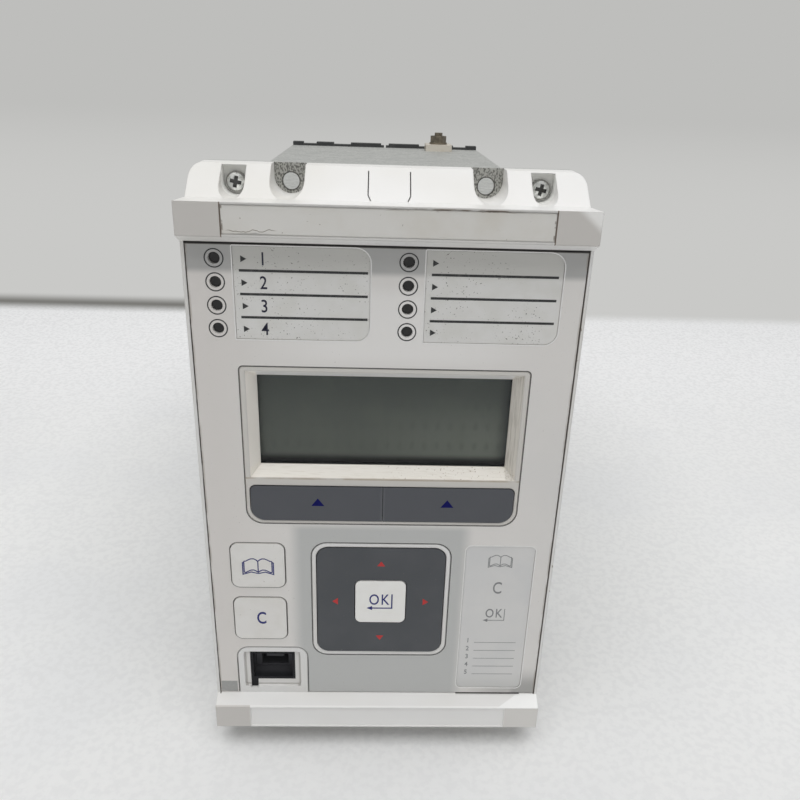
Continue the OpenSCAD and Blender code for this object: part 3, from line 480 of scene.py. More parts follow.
def galvanised(name, light, dark, rough):
    sheet = Finish(name, light, rough, 0.75)
    sheet.paint(sheet.cells(spangle), dark, 0.42)
    sheet.mottle(0.9, 3.0, 0.44, 0.62, dark, 0.55)
    sheet.mottle(30, 3.0, 0.55, 0.8, ink(150, 148, 140), 0.2, stretch=(1, 3, 1))
    # painted shade on the front lip, which sits behind the moulding, broken up by a darker mottle
    lip_front = sheet.below(sheet.y, -1.1, -0.9)
    sheet.paint(lip_front, ink(188, 188, 183), 0.9)
    mottled = sheet.rise(sheet.grain(0.42, 4.0, (1, 1, 1.6)), 0.45, 0.60)
    sheet.paint(sheet.both(lip_front, mottled), ink(88, 88, 85), 0.8)
    hole_edge = sheet.below(sheet.from_axis(hole_x, hole_z), 2.4, 2.6)
    sheet.paint(sheet.both(lip_front, hole_edge), ink(66, 65, 62), 0.8)
    sheet.vary_gloss(sheet.cells(spangle), rough - 0.08, rough + 0.10)
    sheet.skin(0.8, 3.0, 0.012, 0.5, edge=0.25)
    return sheet


case_sheet = galvanised("galvanised sheet", ink(204, 205, 202), ink(162, 164, 162), 0.55)
dress(case_sheet, "case_tray", "case_lid", "rear_plate")
cradle_sheet = galvanised("cradle sheet", ink(198, 201, 203), ink(164, 168, 171), 0.40)
dress(cradle_sheet, "cradle_base", "cradle_top")

zinc = Finish("bright zinc", ink(244, 245, 243), 0.26, 0.6)
zinc.mottle(1.1, 3.0, 0.46, 0.66, ink(172, 172, 167), 0.6)
from_screw = zinc.from_axis(screw_x, hole_z)
in_recess = zinc.below(from_screw, 1.6, 1.7)
# painted shadow round the rim of the retaining screw heads
head_rim_shadow = zinc.both(zinc.band(from_screw, 2.25, 2.7), zinc.below(zinc.y, -3.6, -3.4))
zinc.paint(head_rim_shadow, ink(112, 109, 102), 0.75)
# painted shade on the floor of the cross recess
recess_floor_shade = zinc.both(in_recess, zinc.band(zinc.y, -5.9, -4.0))
zinc.paint(recess_floor_shade, ink(36, 35, 33), 0.95)
# painted dark reflections in blotches on the front screw heads
front_head_reflections = zinc.both(zinc.below(zinc.y, -2, -1), zinc.rise(zinc.grain(1.8, 2.0), 0.42, 0.56))
zinc.paint(front_head_reflections, ink(112, 114, 114), 0.35)
zinc.vary_gloss(zinc.grain(0.7, 3.0), 0.20, 0.42)
zinc.skin(0.25, 2.0, 0.01, 0.5, edge=0.15)
dress(zinc, "retaining_screws", "board_screws", "block_screws", "terminal_screws", "heat_sink", "case_rivets")

passivated = Finish("dull passivated steel", ink(128, 120, 106), 0.42, 0.7)
passivated.mottle(2.2, 3.0, 0.40, 0.65, ink(92, 86, 76), 0.7)
passivated.skin(0.3, 2.0, 0.01, 0.5, edge=0.2)
dress(passivated, "earth_stud", "earth_nut")
tinned = Finish("tinned plate", ink(228, 221, 210), 0.38, 0.6)
tinned.mottle(2.0, 3.0, 0.45, 0.7, ink(206, 196, 178), 0.6)
tinned.skin(0.3, 2.0, 0.01, 0.5, edge=0.2)
dress(tinned, "earth_tab", "terminal_tabs")

# %% [markdown]
# The rear terminal blocks and the small black plastics are glass-filled, so their skin is dull with faint
# pale flow marks. Inside the case are boards and wound parts. Nobody sees them while the case is shut, but
# each still gets the finish of the real thing, because the library may open the case.

# %% Black plastics and the inside
block = Finish("terminal black", ink(52, 53, 54), 0.58)
block.mottle(5, 4.0, 0.45, 0.75, ink(66, 67, 67), 0.7, stretch=(1, 1, 4))
block.mottle(0.8, 2.0, 0.70, 0.76, ink(108, 106, 100), 0.5)
block.skin(0.4, 2.0, 0.015, 0.6, edge=0.25)
dress(block, "terminal_block_left", "terminal_block_right")

collar_front, collar_rear = (corner.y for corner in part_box("usb_bezel"))
shell_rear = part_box("usb_shell")[1].y
black = Finish("socket black", ink(38, 38, 41), 0.6)
black.set("Specular IOR Level", 0.15)
black.mottle(1.5, 3.0, 0.45, 0.7, ink(44, 44, 48), 0.7)
# painted light on the lower inside of the socket, behind the collar's face
lit_inside = black.both(black.rise(black.y, collar_front + 0.5 * mm, collar_rear),
                             black.fall(black.y, shell_rear, shell_rear + 0.1 * mm),
                             black.below(black.z, -54.5, -53.5))
black.paint(lit_inside, ink(104, 104, 108), 0.95)
dress(black, "usb_bezel", "usb_shell", "usb_insert", "board_connectors", "ribbon_headers",
      "key_switches", "output_relays", "main_chips")

board = Finish("green board", ink(38, 92, 58), 0.42)
tracks = board.rise(board.cells(2.4), 0.55, 0.60)
board.paint(tracks, ink(52, 116, 72), 0.8)
board.relief(tracks, 0.02, 0.4)
dress(board, "front_board", "main_board", "power_board", "io_board")

nylon = Finish("guide nylon", ink(222, 216, 198), 0.5)
nylon.paint(nylon.grain(8, 3.0), ink(210, 202, 182), 0.7)
dress(nylon, "card_guides")
tape = Finish("winding tape", ink(206, 170, 74), 0.48)
layers = tape.waves(tape.z, 4.488)
tape.paint(tape.rise(layers, 0.85, 1.0), ink(172, 136, 52), 0.7)
dress(tape, "power_transformer")
sleeve = Finish("capacitor sleeve", ink(40, 62, 104), 0.35)
sleeve.mottle(6, 2.0, 0.5, 0.8, ink(52, 76, 120), 0.7)
dress(sleeve, "capacitors")
core = Finish("core steel", ink(112, 112, 110), 0.5, 0.7)
sheets = core.waves(core.x, 0.5)
core.relief(sheets, 0.03, 0.5)
core.mottle(5, 3.0, 0.5, 0.8, ink(92, 80, 70), 0.6)
dress(core, "ct_cores")
wire = Finish("enamelled wire", ink(168, 92, 48), 0.3, 0.8)
turns = wire.waves(wire.z, 0.8)
wire.relief(turns, 0.15, 0.6)
wire.mottle(3, 2.0, 0.4, 0.8, ink(140, 74, 40), 0.6)
dress(wire, "ct_windings")
ribbon = Finish("ribbon cable", ink(168, 170, 172), 0.5)
strands = ribbon.waves(ribbon.z, 1.27)
ribbon.paint(ribbon.rise(strands, 0.2, 0.9), ink(186, 188, 190))
ribbon.relief(strands, 0.2, 0.6)
dress(ribbon, "ribbon_cable")

# %% [markdown]
# Now the printing. Screen ink stands a few hundredths of a millimetre above the surface it is on, so each
# print here is a very thin closed slab. A slab has crisp edges at any distance, and it rides on the key
# or the film that carries it. Two helpers draw everything: a filled patch, and a line of even width.

# %% Patches and lines
ink_rise = 0.03
ink_sunk = 0.01
sharpest_mitre = 0.4
weld = 1e-7


def slab_faces(mesh, loop, face_y):
    """Front and back copies of a loop of (x, z) points, a slab of ink apart."""
    front = [mesh.verts.new((x * mm, (face_y - ink_rise) * mm, z * mm)) for x, z in loop]
    back = [mesh.verts.new((x * mm, (face_y + ink_sunk) * mm, z * mm)) for x, z in loop]
    return front, back


def patch(mesh, loop, face_y):
    front, back = slab_faces(mesh, loop, face_y)
    mesh.faces.new(front)
    mesh.faces.new(back)
    for i in range(len(loop)):
        j = (i + 1) % len(loop)
        mesh.faces.new((front[i], front[j], back[j], back[i]))


def rectangle(left, right, low, high):
    return [(left, low), (right, low), (right, high), (left, high)]


def line(mesh, points, width, face_y, closed=False):
    """A line of even width along points. Each corner is mitred, so the width stays even there too."""
    count = len(points)
    sides = ([], [])
    for i, point in enumerate(points):
        here = Vector(point)
        legs = []
        if closed or i > 0:
            legs.append((here - Vector(points[i - 1])).normalized())
        if closed or i < count - 1:
            legs.append((Vector(points[(i + 1) % count]) - here).normalized())
        normals = [Vector((-leg.y, leg.x)) for leg in legs]
        mitre = sum(normals, Vector((0, 0))).normalized()
        reach = width / 2 / max(mitre.dot(normals[0]), sharpest_mitre)
        for side, sign in zip(sides, (1, -1)):
            side.append(here + sign * reach * mitre)
    left_front, left_back = slab_faces(mesh, sides[0], face_y)
    right_front, right_back = slab_faces(mesh, sides[1], face_y)
    for i in range(count if closed else count - 1):
        j = (i + 1) % count
        mesh.faces.new((left_front[i], left_front[j], right_front[j], right_front[i]))
        mesh.faces.new((left_back[i], right_back[i], right_back[j], left_back[j]))
        mesh.faces.new((left_front[i], left_back[i], left_back[j], left_front[j]))
        mesh.faces.new((right_front[i], right_front[j], right_back[j], right_back[i]))
    if not closed:
        for i in (0, count - 1):
            mesh.faces.new((left_front[i], right_front[i], right_back[i], left_back[i]))


def finish_piece(name, mesh, finish, body):
    """Turns a drawn mesh into a piece of the relay: normals outwards, one finish, one body."""
    bmesh.ops.remove_doubles(mesh, verts=mesh.verts, dist=weld)
    bmesh.ops.recalc_face_normals(mesh, faces=mesh.faces)
    data = bpy.data.meshes.new(name)
    mesh.to_mesh(data)
    mesh.free()
    data.materials.append(finish.material)
    piece = into_scene(name, data)
    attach(piece, body)
    print(name, "on", body, "with", len(data.polygons), "faces")
    return piece

# %% [markdown]
# The inks are two darks, three greys, two blues, red and a near-white. Screen ink is never quite even: it is
# thinner in places and a little worn where fingers go, so each ink lets another tone through in fine patches.

# %% Inks
def printing_ink(name, tone, worn):
    mix = Finish(name, tone, 0.5)
    mix.mottle(0.8, 3.0, 0.50, 0.75, worn, 0.6)
    mix.skin(0.2, 1.0, 0.004, 0.4)
    return mix


dark_ink = printing_ink("dark ink", ink(46, 47, 48), ink(88, 88, 86))
line_ink = printing_ink("grey line ink", ink(84, 84, 83), ink(120, 119, 117))
above_socket = line_ink.both(line_ink.below(line_ink.x, -21, -20), line_ink.band(line_ink.z, -58, -52, 1))
line_ink.paint(above_socket, ink(156, 155, 152), 0.85)
navy_ink = printing_ink("navy ink", ink(18, 28, 112), ink(48, 58, 132))
deep_blue_ink = printing_ink("deep blue ink", ink(2, 6, 88), ink(12, 18, 96))
deep_blue_ink.set("Specular IOR Level", 0.15)
red_ink = printing_ink("red ink", ink(196, 44, 44), ink(150, 60, 58))
sign_ink = printing_ink("grey sign ink", ink(138, 139, 140), ink(166, 167, 167))
tab_ink = printing_ink("grey tab ink", ink(168, 168, 166), ink(184, 184, 181))
pale_ink = printing_ink("pale ink", ink(243, 242, 240), ink(228, 227, 224))
text_ink = printing_ink("text ink", ink(22, 22, 48), ink(48, 48, 74))
print("nine inks mixed")

# %% [markdown]
# Thin grey lines run round the display, the four-way pad and the data socket. They follow the cut edges of
# the film, and their corner arcs use the same radii as the solids. The two white keys need only a hairline:
# the gap round them does the rest. The card windows have a pale border, and a plain grey tab fills the lower
# left corner.

# %% Lines on the film
film_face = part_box("overlay")[0].y / mm
line_width = 0.24
key_line = 0.12


def rounded(x0, x1, z0, z1, radii, steps=7):
    """A rectangle with round corners: upper left, upper right, lower right, lower left."""
    corners = ((x0, z1, 1, -1, 180), (x1, z1, -1, -1, 90), (x1, z0, -1, 1, 0), (x0, z0, 1, 1, 270))
    points = []
    for (x, z, dx, dz, start), radius in zip(corners, radii):
        for step in range(steps + 1):
            angle = math.radians(start - 90 * step / steps)
            points.append((x + radius * (dx + math.cos(angle)), z + radius * (dz + math.sin(angle))))
    return points


def outline(mesh, x0, x1, z0, z1, spare, radii, width):
    """A closed line on the film, spare millimetres outside a rectangle."""
    line(mesh, rounded(x0 - spare, x1 + spare, z0 - spare, z1 + spare, radii), width, film_face, True)


frame_half, frame_low, frame_high = 38.6, -8.55, 39.35
pad_half, pad_middle = 20.55, -35.65
key_gap, key_lip, window_gap = 0.25, 0.9, 0.1
frame_radii, pad_radii, key_radii = (1.2, 1.2, 4.7, 4.7), (4.7,) * 4, (2.5,) * 4
socket_radii = (3.7, 3.7, 0.01, 0.01)
led_card_radii, key_card_radii = (0.3, 3.8, 3.8, 0.3), (1.8,) * 4
socket_left, socket_right, socket_top, film_low = -44.1, -22.3, -53.6, -71.35
edge = line_width / 2
lines = bmesh.new()
outline(lines, -frame_half, frame_half, frame_low, frame_high, edge, frame_radii, line_width)
outline(lines, -pad_half, pad_half, pad_middle - pad_half, pad_middle + pad_half, edge, pad_radii, line_width)
for key in ("read_key", "clear_key"):
    low, high = (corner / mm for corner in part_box(key))
    outline(lines, low.x, high.x, low.z, high.z, key_gap + key_line / 2 - key_lip, key_radii, key_line)
round_socket = rounded(socket_left - edge, socket_right + edge, film_low, socket_top + edge, socket_radii)
upper_corners = round_socket[:len(round_socket) // 2]
line(lines, [(socket_left - edge, film_low)] + upper_corners + [(socket_right + edge, film_low)],
     line_width, film_face)
finish_piece("film_lines", lines, line_ink, "relay")

border = 0.3
borders = bmesh.new()
for name, radii in (("led_card_left", led_card_radii), ("led_card_right", led_card_radii),
                    ("info_card", key_card_radii)):
    low, high = (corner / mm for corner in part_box(name))
    outline(borders, low.x, high.x, low.z, high.z, window_gap + border / 2, radii, border)
finish_piece("card_borders", borders, pale_ink, "relay")

tab_left, tab_right, tab_top = -49.75, -44.7, -67.2
tab = bmesh.new()
patch(tab, rectangle(tab_left, tab_right, film_low, tab_top), film_face)
finish_piece("corner_tab", tab, tab_ink, "relay")

# %% [markdown]
# Eight printed rings circle the indicator lights, and each card has ruled rows with a small pointer. They
# repeat in columns and rows at the pitch of the lights, which is a job for Geometry Nodes: draw one,
# then let a tree set it out. The tree takes the numbers as named inputs, and it ends in real geometry with
# its finish on, because an export keeps no instances.

# %% A tree that sets one piece out in columns and rows
def rows_and_columns():
    tree = bpy.data.node_groups.new("columns and rows", "GeometryNodeTree")
    tree.is_modifier = True
    sockets = (("Piece", "Geometry"), ("Columns", "Int"), ("Column step", "Float"), ("Rows", "Int"),
               ("Row step", "Float"), ("Finish", "Material"))
    for name, kind in sockets:
        tree.interface.new_socket(name=name, in_out="INPUT", socket_type="NodeSocket" + kind)
    tree.interface.new_socket(name="Set out", in_out="OUTPUT", socket_type="NodeSocketGeometry")

    def node(kind, **links):
        new = tree.nodes.new(kind)
        for socket, source in links.items():
            tree.links.new(source, new.inputs[socket.replace("_", " ")])
        return new

    given = tree.nodes.new("NodeGroupInput").outputs
    across = node("ShaderNodeCombineXYZ", X=given["Column step"])
    down = node("ShaderNodeCombineXYZ", Z=given["Row step"])
    columns = node("GeometryNodeMeshLine", Count=given["Columns"], Offset=across.outputs[0])
    rows = node("GeometryNodeMeshLine", Count=given["Rows"], Offset=down.outputs[0])
    places = node("GeometryNodeInstanceOnPoints", Points=columns.outputs[0], Instance=rows.outputs[0])
    points = node("GeometryNodeRealizeInstances", Geometry=places.outputs[0])
    copies = node("GeometryNodeInstanceOnPoints", Points=points.outputs[0], Instance=given["Piece"])
    real = node("GeometryNodeRealizeInstances", Geometry=copies.outputs[0])
    coated = node("GeometryNodeSetMaterial", Geometry=real.outputs[0], Material=given["Finish"])
    tree.links.new(coated.outputs[0], tree.nodes.new("NodeGroupOutput").inputs[0])
    return tree


set_out = rows_and_columns()


def repeat(name, mesh, finish, body, columns, column_step, rows, row_step):
    """Draws the first piece, sets it out with the tree, and keeps the result as a plain mesh."""
    bmesh.ops.recalc_face_normals(mesh, faces=mesh.faces)
    first = bpy.data.meshes.new(name + "_first")
    mesh.to_mesh(first)
    mesh.free()
    maker = into_scene(name + "_maker", first)
    spread = maker.modifiers.new("set out", "NODES")
    spread.node_group = set_out
    values = {"Columns": columns, "Column step": column_step * mm, "Rows": rows, "Row step": -row_step * mm,
              "Finish": finish.material}
    for item in set_out.interface.items_tree:
        if item.in_out == "INPUT" and item.name in values:
            spread[item.identifier] = values[item.name]
    ready = maker.evaluated_get(bpy.context.evaluated_depsgraph_get())
    data = bpy.data.meshes.new_from_object(ready)
    data.name = name
    piece = into_scene(name, data)
    bpy.data.objects.remove(maker)
    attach(piece, body)
    print(name, "set out", columns, "by", rows, "with", len(data.polygons), "faces")

# %% Rings, rules and pointers
light_x, light_top, light_pitch, light_step = -43.2, 67.8, 6.05, 48.4
light_columns, light_rows = 2, 4
ring_radius, ring_width, ring_points = 2.3, 0.3, 40
rule_left, rule_right, rule_half, rule_step = -37.2, -5.0, 0.32, 48.2
pointer_left, pointer_tip, pointer_half, pointer_drop, pointer_step = -36.7, -35.2, 0.85, 0.1, 47.9
card_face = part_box("led_card_left")[0].y / mm

ring = bmesh.new()
angles = [math.tau * i / ring_points for i in range(ring_points)]
circle = [(light_x + ring_radius * math.cos(angle), light_top + ring_radius * math.sin(angle))
          for angle in angles]
line(ring, circle, ring_width, film_face, True)
repeat("indicator_rings", ring, dark_ink, "relay", light_columns, light_step, light_rows,
       light_pitch)

rule = bmesh.new()
rule_z = light_top - light_pitch / 2
patch(rule, rectangle(rule_left, rule_right, rule_z - rule_half, rule_z + rule_half), card_face)
repeat("card_rules", rule, dark_ink, "relay", light_columns, rule_step, light_rows - 1,
       light_pitch)

pointer = bmesh.new()
tip_z = light_top - pointer_drop
patch(pointer, [(pointer_left, tip_z - pointer_half), (pointer_tip, tip_z),
                (pointer_left, tip_z + pointer_half)], card_face)
repeat("card_pointers", pointer, dark_ink, "relay", light_columns, pointer_step, light_rows,
       light_pitch)

# %% [markdown]
# The left card carries plain row numbers in a blue-black. Blender's own text object makes the shapes: extrude
# it to the thickness of ink, turn it into a mesh, and only then stand it up and move it to its place.

# %% Numbers and letters
capital_share = 0.70


def lettering(mesh, text, height, x, z, face_y, spacing=1.0, narrow=0.84, weight=0.03):
    """Adds text to a mesh, standing upright and facing the viewer, centred on x with its foot at z."""
    curve = bpy.data.curves.new("lettering", "FONT")
    curve.body = text
    curve.size = height * mm / capital_share
    curve.extrude = (ink_rise + ink_sunk) / 2 * mm
    curve.offset = weight * mm
    curve.resolution_u = 4
    curve.align_x = "CENTER"
    curve.space_character = spacing
    holder = into_scene("lettering", curve)
    shape = bpy.data.meshes.new_from_object(holder.evaluated_get(bpy.context.evaluated_depsgraph_get()))
    middle = (face_y - (ink_rise - ink_sunk) / 2) * mm
    upright_turn = Matrix.Rotation(math.pi / 2, 4, "X") @ Matrix.Diagonal((narrow, 1, 1, 1))
    shape.transform(Matrix.Translation((x * mm, middle, z * mm)) @ upright_turn)
    mesh.from_mesh(shape)
    bpy.data.objects.remove(holder)
    bpy.data.curves.remove(curve)
    bpy.data.meshes.remove(shape)


number_height, number_x, number_drop = 3.3, -31.2, 1.6
numbers = bmesh.new()
for row in range(light_rows):
    lettering(numbers, str(row + 1), number_height, number_x, light_top - row * light_pitch - number_drop,
              card_face)
finish_piece("card_numbers", numbers, text_ink, "relay")

# %% [markdown]
# Each key has a simple sign. The two wide keys point up, the pad has four red arrows, and the white keys show
# an open book, a C and an OK above a return arrow. The signs are drawn from patches and lines at the key's
# own centre, and each rides on its key, so it goes in with the key when the key is pressed.

# %% Signs on the keys
def front_of(node):
    low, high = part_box(node)
    return (low.x + high.x) / 2 / mm, low.y / mm, (low.z + high.z) / 2 / mm


mark_x, mark_half, mark_low, mark_high = 18.4, 1.85, -2.5, -0.05
for side, way in (("left", -1), ("right", 1)):
    key = "hot_key_" + side
    face_y = front_of(key)[1]
    x = way * mark_x
    mark = bmesh.new()
    patch(mark, [(x - mark_half, mark_low), (x + mark_half, mark_low), (x, mark_high)], face_y)
    finish_piece("hot_mark_" + side, mark, deep_blue_ink, key)

arrow_half, arrow_foot, arrow_tip = 1.2, 12.8, 14.5
pad_x, pad_y, pad_z = front_of("nav_pad")
arrows = bmesh.new()
for quarter in range(4):
    turn = Matrix.Rotation(quarter * math.pi / 2, 2)
    corners = [turn @ Vector(corner)
               for corner in ((-arrow_half, arrow_foot), (arrow_half, arrow_foot), (0, arrow_tip))]
    patch(arrows, [(pad_x + c.x, pad_z + c.y) for c in corners], pad_y)
finish_piece("pad_arrows", arrows, red_ink, "nav_pad")


def open_book(mesh, x, z, width, stroke, face_y):
    """Two pages that curve up from the spine, with a cover line below."""
    half, tall = width / 2, width * 0.47
    page_height = tall * 1.02
    for side in (-1, 1):
        page = []
        for t in (0, 0.15, 0.3, 0.5, 0.7, 0.88, 1.0):
            swell = math.sin(math.pi * min(t * 1.15, 1)) * (1 - 0.5 * t)
            page.append((x + side * half * t, z + tall * (0.36 + 0.30 * swell)))
        outer, top = page[-1]
        cover = x + side * half * 1.1
        line(mesh, page, stroke, face_y)
        line(mesh, [(px, pz - page_height) for px, pz in page], stroke, face_y)
        line(mesh, [(outer, top), (outer, top - page_height)], stroke, face_y)
        line(mesh, [(outer, top - tall * 0.1), (cover, top - tall * 0.14), (cover, top - tall * 1.2),
                    (x + side * half * 0.5, z - tall * 0.62), (x, z - tall * 0.76)], stroke, face_y)
    line(mesh, [(x, z + tall * 0.38), (x, z - tall * 0.66)], stroke, face_y)


def ok_return(mesh, x, z, size, stroke, face_y):
    """OK, closed by the bent arrow of a return key."""
    lettering(mesh, "OK", size * 1.12, x - size * 0.12, z - size * 0.34, face_y, 1.2, 0.72)
    corner = x + size * 1.02
    foot = z - size * 0.72
    head, head_half = x - size * 0.72, size * 0.22
    line(mesh, [(corner, z + size * 0.78), (corner, foot), (x - size * 0.75, foot)], stroke, face_y)
    patch(mesh, [(x - size * 1.22, foot), (head, foot - head_half), (head, foot + head_half)], face_y)


key_x, key_y, key_z = front_of("ok_key")
sign = bmesh.new()
ok_return(sign, key_x, key_z + 0.2, size=3.4, stroke=0.4, face_y=key_y)
finish_piece("ok_sign", sign, navy_ink, "ok_key")
key_x, key_y, key_z = front_of("clear_key")
sign = bmesh.new()
lettering(sign, "C", height=4.3, x=key_x + 0.3, z=key_z - 1.8, face_y=key_y, narrow=0.70, weight=0.08)
finish_piece("clear_sign", sign, navy_ink, "clear_key")
key_x, key_y, key_z = front_of("read_key")
sign = bmesh.new()
open_book(sign, key_x, key_z + 0.2, width=8.2, stroke=0.32, face_y=key_y)
finish_piece("read_sign", sign, navy_ink, "read_key")

# %% [markdown]
# The card on the right repeats the three key signs in grey ink, with a short ruled list of plain numbers
# below them. It is the same drawing code at another size, which is why the signs are functions.

# %% Signs on the key card
card_x, key_card_face, _ = front_of("info_card")
book_z, clear_z, ok_z, sign_stroke = -20.6, -32.6, -40.6, 0.22
list_rows, list_top, list_pitch, list_number, list_stroke = 5, -51.3, 3.15, 1.7, 0.14
list_x, list_left, list_right = card_x - 7.6, card_x - 5.6, card_x + 7.4
signs = bmesh.new()
open_book(signs, card_x + 0.2, book_z, width=6.4, stroke=sign_stroke, face_y=key_card_face)
lettering(signs, "C", height=4.2, x=card_x, z=clear_z, face_y=key_card_face, narrow=0.70)
ok_return(signs, card_x, ok_z, size=2.9, stroke=sign_stroke, face_y=key_card_face)
for row in range(list_rows):
    foot = list_top - row * list_pitch
    lettering(signs, str(row + 1), list_number, list_x, foot, key_card_face)
    line(signs, [(list_left, foot), (list_right, foot)], list_stroke, key_card_face)
finish_piece("key_card_signs", signs, sign_ink, "relay")

# %% [markdown]
# A paper label sits in a shallow slot of the upper bar. It is bare, but old: near the left end its lower edge
# has come loose and curls outwards, and dirt has gathered at the ends. A fine grid of points makes the sheet,
# so a formula can curl and fray that edge; Solidify then gives it the thickness of paper.

# %% Bare paper label
paper = Finish("label paper", ink(228, 226, 221), 0.55)
paper.mottle(12, 4.0, 0.40, 0.75, ink(219, 215, 206), 0.8)
ends = paper.above(paper.math("ABSOLUTE", paper.x), 39.5, 40.0)
top_edge = paper.both(paper.above(paper.z, 80.7, 81.3), paper.band(paper.x, 2, 30, 4.0))
scuffs = paper.rise(paper.grain(1.6, 4.0, (3, 1, 1)), 0.47, 0.62)
paper.paint(paper.both(paper.either(ends, top_edge), scuffs), ink(104, 84, 62), 0.85)
ragged = paper.math("MULTIPLY", paper.grain(3.5, 3.0, (1, 1, 50)), 2.2 * mm)
# dark ragged line where the loose edge is torn, partly painted shadow under the curl
tear_and_shadow = paper.band(paper.math("SUBTRACT", paper.z, ragged), 74.16, 74.32, 0.06)
paper.paint(paper.both(tear_and_shadow, paper.band(paper.x, -38.6, -27.5, 1.0)), ink(112, 100, 84), 0.9)
paper.mottle(0.9, 2.0, 0.73, 0.77, ink(120, 110, 96), 0.6)
paper.relief(paper.grain(0.4, 3.0, (2, 1, 1)), 0.012, 0.5)

label_low, label_high = (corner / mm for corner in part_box("rating_label"))
label_steps, label_rows, label_sunk, paper_thickness = 100, 10, 0.02, 0.12
loose_x, loose_reach, fray_depth, curl_height, curl_steepness = -32.5, 6.0, 0.45, 0.16, 2.6
sheet = bmesh.new()
grid = []
for i in range(label_steps + 1):
    x = label_low.x + (label_high.x - label_low.x) * i / label_steps
    loose = max(0.0, 1 - abs(x - loose_x) / loose_reach) ** 1.2
    fray = fray_depth * loose * (0.6 + 0.4 * math.sin(2.3 * x))
    column = []
    for j in range(label_rows + 1):
        up = j / label_rows
        z = label_low.z + fray + (label_high.z - label_low.z - fray) * up
        lift = curl_height * loose * max(0.0, 1 - up * curl_steepness)
        column.append(sheet.verts.new((x * mm, (label_low.y + label_sunk - lift) * mm, z * mm)))
    grid.append(column)
for i in range(label_steps):
    for j in range(label_rows):
        sheet.faces.new((grid[i][j], grid[i + 1][j], grid[i + 1][j + 1], grid[i][j + 1]))
label = finish_piece("bare_label", sheet, paper, "relay")
thickness = label.modifiers.new("paper thickness", "SOLIDIFY")
thickness.thickness = paper_thickness * mm
thickness.offset = -1.0
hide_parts("rating_label")

# %% [markdown]
# The relay was photographed on a white foam sheet that ends a hand's length behind it, before a plain grey
# backdrop. It stands on the lower edge of its front and on the rear of its case, so to the relay the floor
# slopes by about three degrees. A wall would hide the relay from behind, so one long sheet is floor and
# backdrop in one: beyond the foam's rear edge it shows a grey of its own to the camera, to metal and to
# glass, and that grey adds no light. On the left the edge is a soft dark line.

# %% Floor and backdrop
foam_end, fade_start, fade_end = 384.0, 600.0, 1400.0
backdrop_grey = ink(190, 190, 188)
foam = Finish("white foam sheet", ink(243, 243, 242), 0.7)
foam.set("Specular IOR Level", 0.0)
foam.mottle(60, 2.0, 0.40, 0.75, ink(233, 234, 236), 0.4)
# painted shade on the floor in front of the relay, painted light towards the back
foam.paint(foam.below(foam.y, -220, 10), ink(220, 220, 220), 0.9)
foam.paint(foam.above(foam.y, 120, 330), ink(255, 255, 255), 0.95)
foam.mottle(2.2, 4.0, 0.42, 0.62, ink(231, 231, 231), 0.45)
path = foam.node("LightPath").outputs
seen = foam.either(path["Is Camera Ray"], path["Is Glossy Ray"], path["Is Transmission Ray"])
behind = foam.above(foam.y, foam_end - 8, foam_end + 18)
distance = foam.node("VectorMath", {0: foam.place}, operation="LENGTH").outputs["Value"]
beyond = foam.both(foam.either(behind, foam.above(distance, fade_start, fade_end)), seen)
foam.paint(beyond, (0.0, 0.0, 0.0, 1.0))
tone = foam.mix(foam.above(foam.y, 600, 2200), ink(201, 201, 199), backdrop_grey)
edge_line = foam.both(foam.above(foam.y, foam_end - 60, foam_end - 40),
                      foam.below(foam.y, foam_end + 13, foam_end + 41))
edge_shade = foam.both(edge_line, foam.below(foam.x, -120, 60), foam.below(distance, fade_start, 900))
tone = foam.mix(edge_shade, tone, ink(116, 115, 111))
foam.set("Emission Color", tone)
foam.set("Emission Strength", beyond)
foam.skin(2.0, 3.0, 0.25, 0.5)

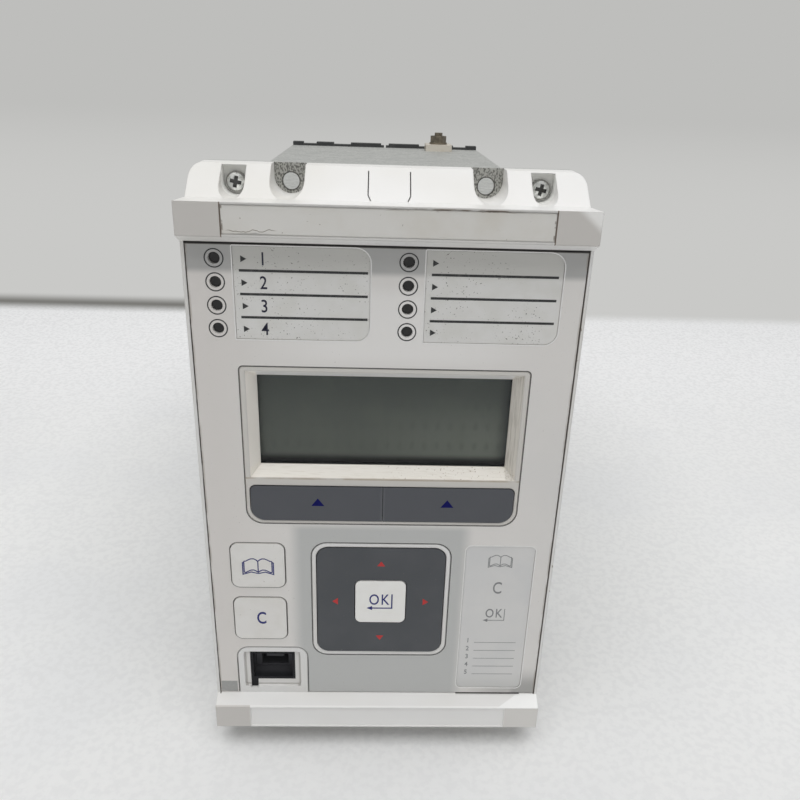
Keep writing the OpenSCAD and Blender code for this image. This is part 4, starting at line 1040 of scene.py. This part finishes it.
floor_front, floor_back, floor_half = -3000.0, 3000.0, 3000.0
front_foot, rear_foot, rear_y = -88.75, -77.0, 213.0
slope = (rear_foot - front_foot) / rear_y
ground = bmesh.new()
corners = [(side * floor_half, y, front_foot + slope * y)
           for side, y in ((-1, floor_front), (1, floor_front), (1, floor_back), (-1, floor_back))]
ground.faces.new([ground.verts.new(Vector(corner) * mm) for corner in corners])
floor_mesh = bpy.data.meshes.new("floor_sheet")
ground.to_mesh(floor_mesh)
ground.free()
floor_mesh.materials.append(foam.material)
floor = into_scene("floor_sheet", floor_mesh)
print("floor slopes", round(math.degrees(math.atan(slope)), 2), "degrees under the relay")

# %% [markdown]
# The light is plain and soft: an even pale surround, and one wide lamp overhead, a little in front. Upward
# faces come out as bright as they are written and the upright front about a fifth darker, as under the
# ceiling lights of a store room. Where the surround is seen itself, or mirrored, it has the backdrop's grey.

# %% Light
surround_tint, surround_strength = (0.98, 0.99, 1.0, 1.0), 0.37
panel_width, panel_depth, panel_power, panel_place = 1.6, 1.2, 12.4, (0.0, -0.25, 1.15)

world = bpy.data.worlds.new("pale surround")
world.use_nodes = True
sky = world.node_tree
surround = sky.nodes["Background"]
surround.inputs["Color"].default_value = surround_tint
surround.inputs["Strength"].default_value = surround_strength
backdrop = sky.nodes.new("ShaderNodeBackground")
backdrop.inputs["Color"].default_value = backdrop_grey
path = sky.nodes.new("ShaderNodeLightPath")
seen = path.outputs["Is Camera Ray"]
for kind in ("Is Glossy Ray", "Is Transmission Ray"):
    either = sky.nodes.new("ShaderNodeMath")
    either.operation = "MAXIMUM"
    sky.links.new(seen, either.inputs[0])
    sky.links.new(path.outputs[kind], either.inputs[1])
    seen = either.outputs[0]
choice = sky.nodes.new("ShaderNodeMixShader")
for source, socket in ((seen, 0), (surround.outputs[0], 1), (backdrop.outputs[0], 2)):
    sky.links.new(source, choice.inputs[socket])
sky.links.new(choice.outputs[0], sky.nodes["World Output"].inputs["Surface"])
bpy.context.scene.world = world

ceiling = bpy.data.lights.new("ceiling panel", "AREA")
ceiling.shape = "RECTANGLE"
ceiling.size, ceiling.size_y = panel_width, panel_depth
ceiling.energy = panel_power
panel = into_scene("ceiling panel", ceiling)
panel.location = panel_place
print("surround and one ceiling panel")
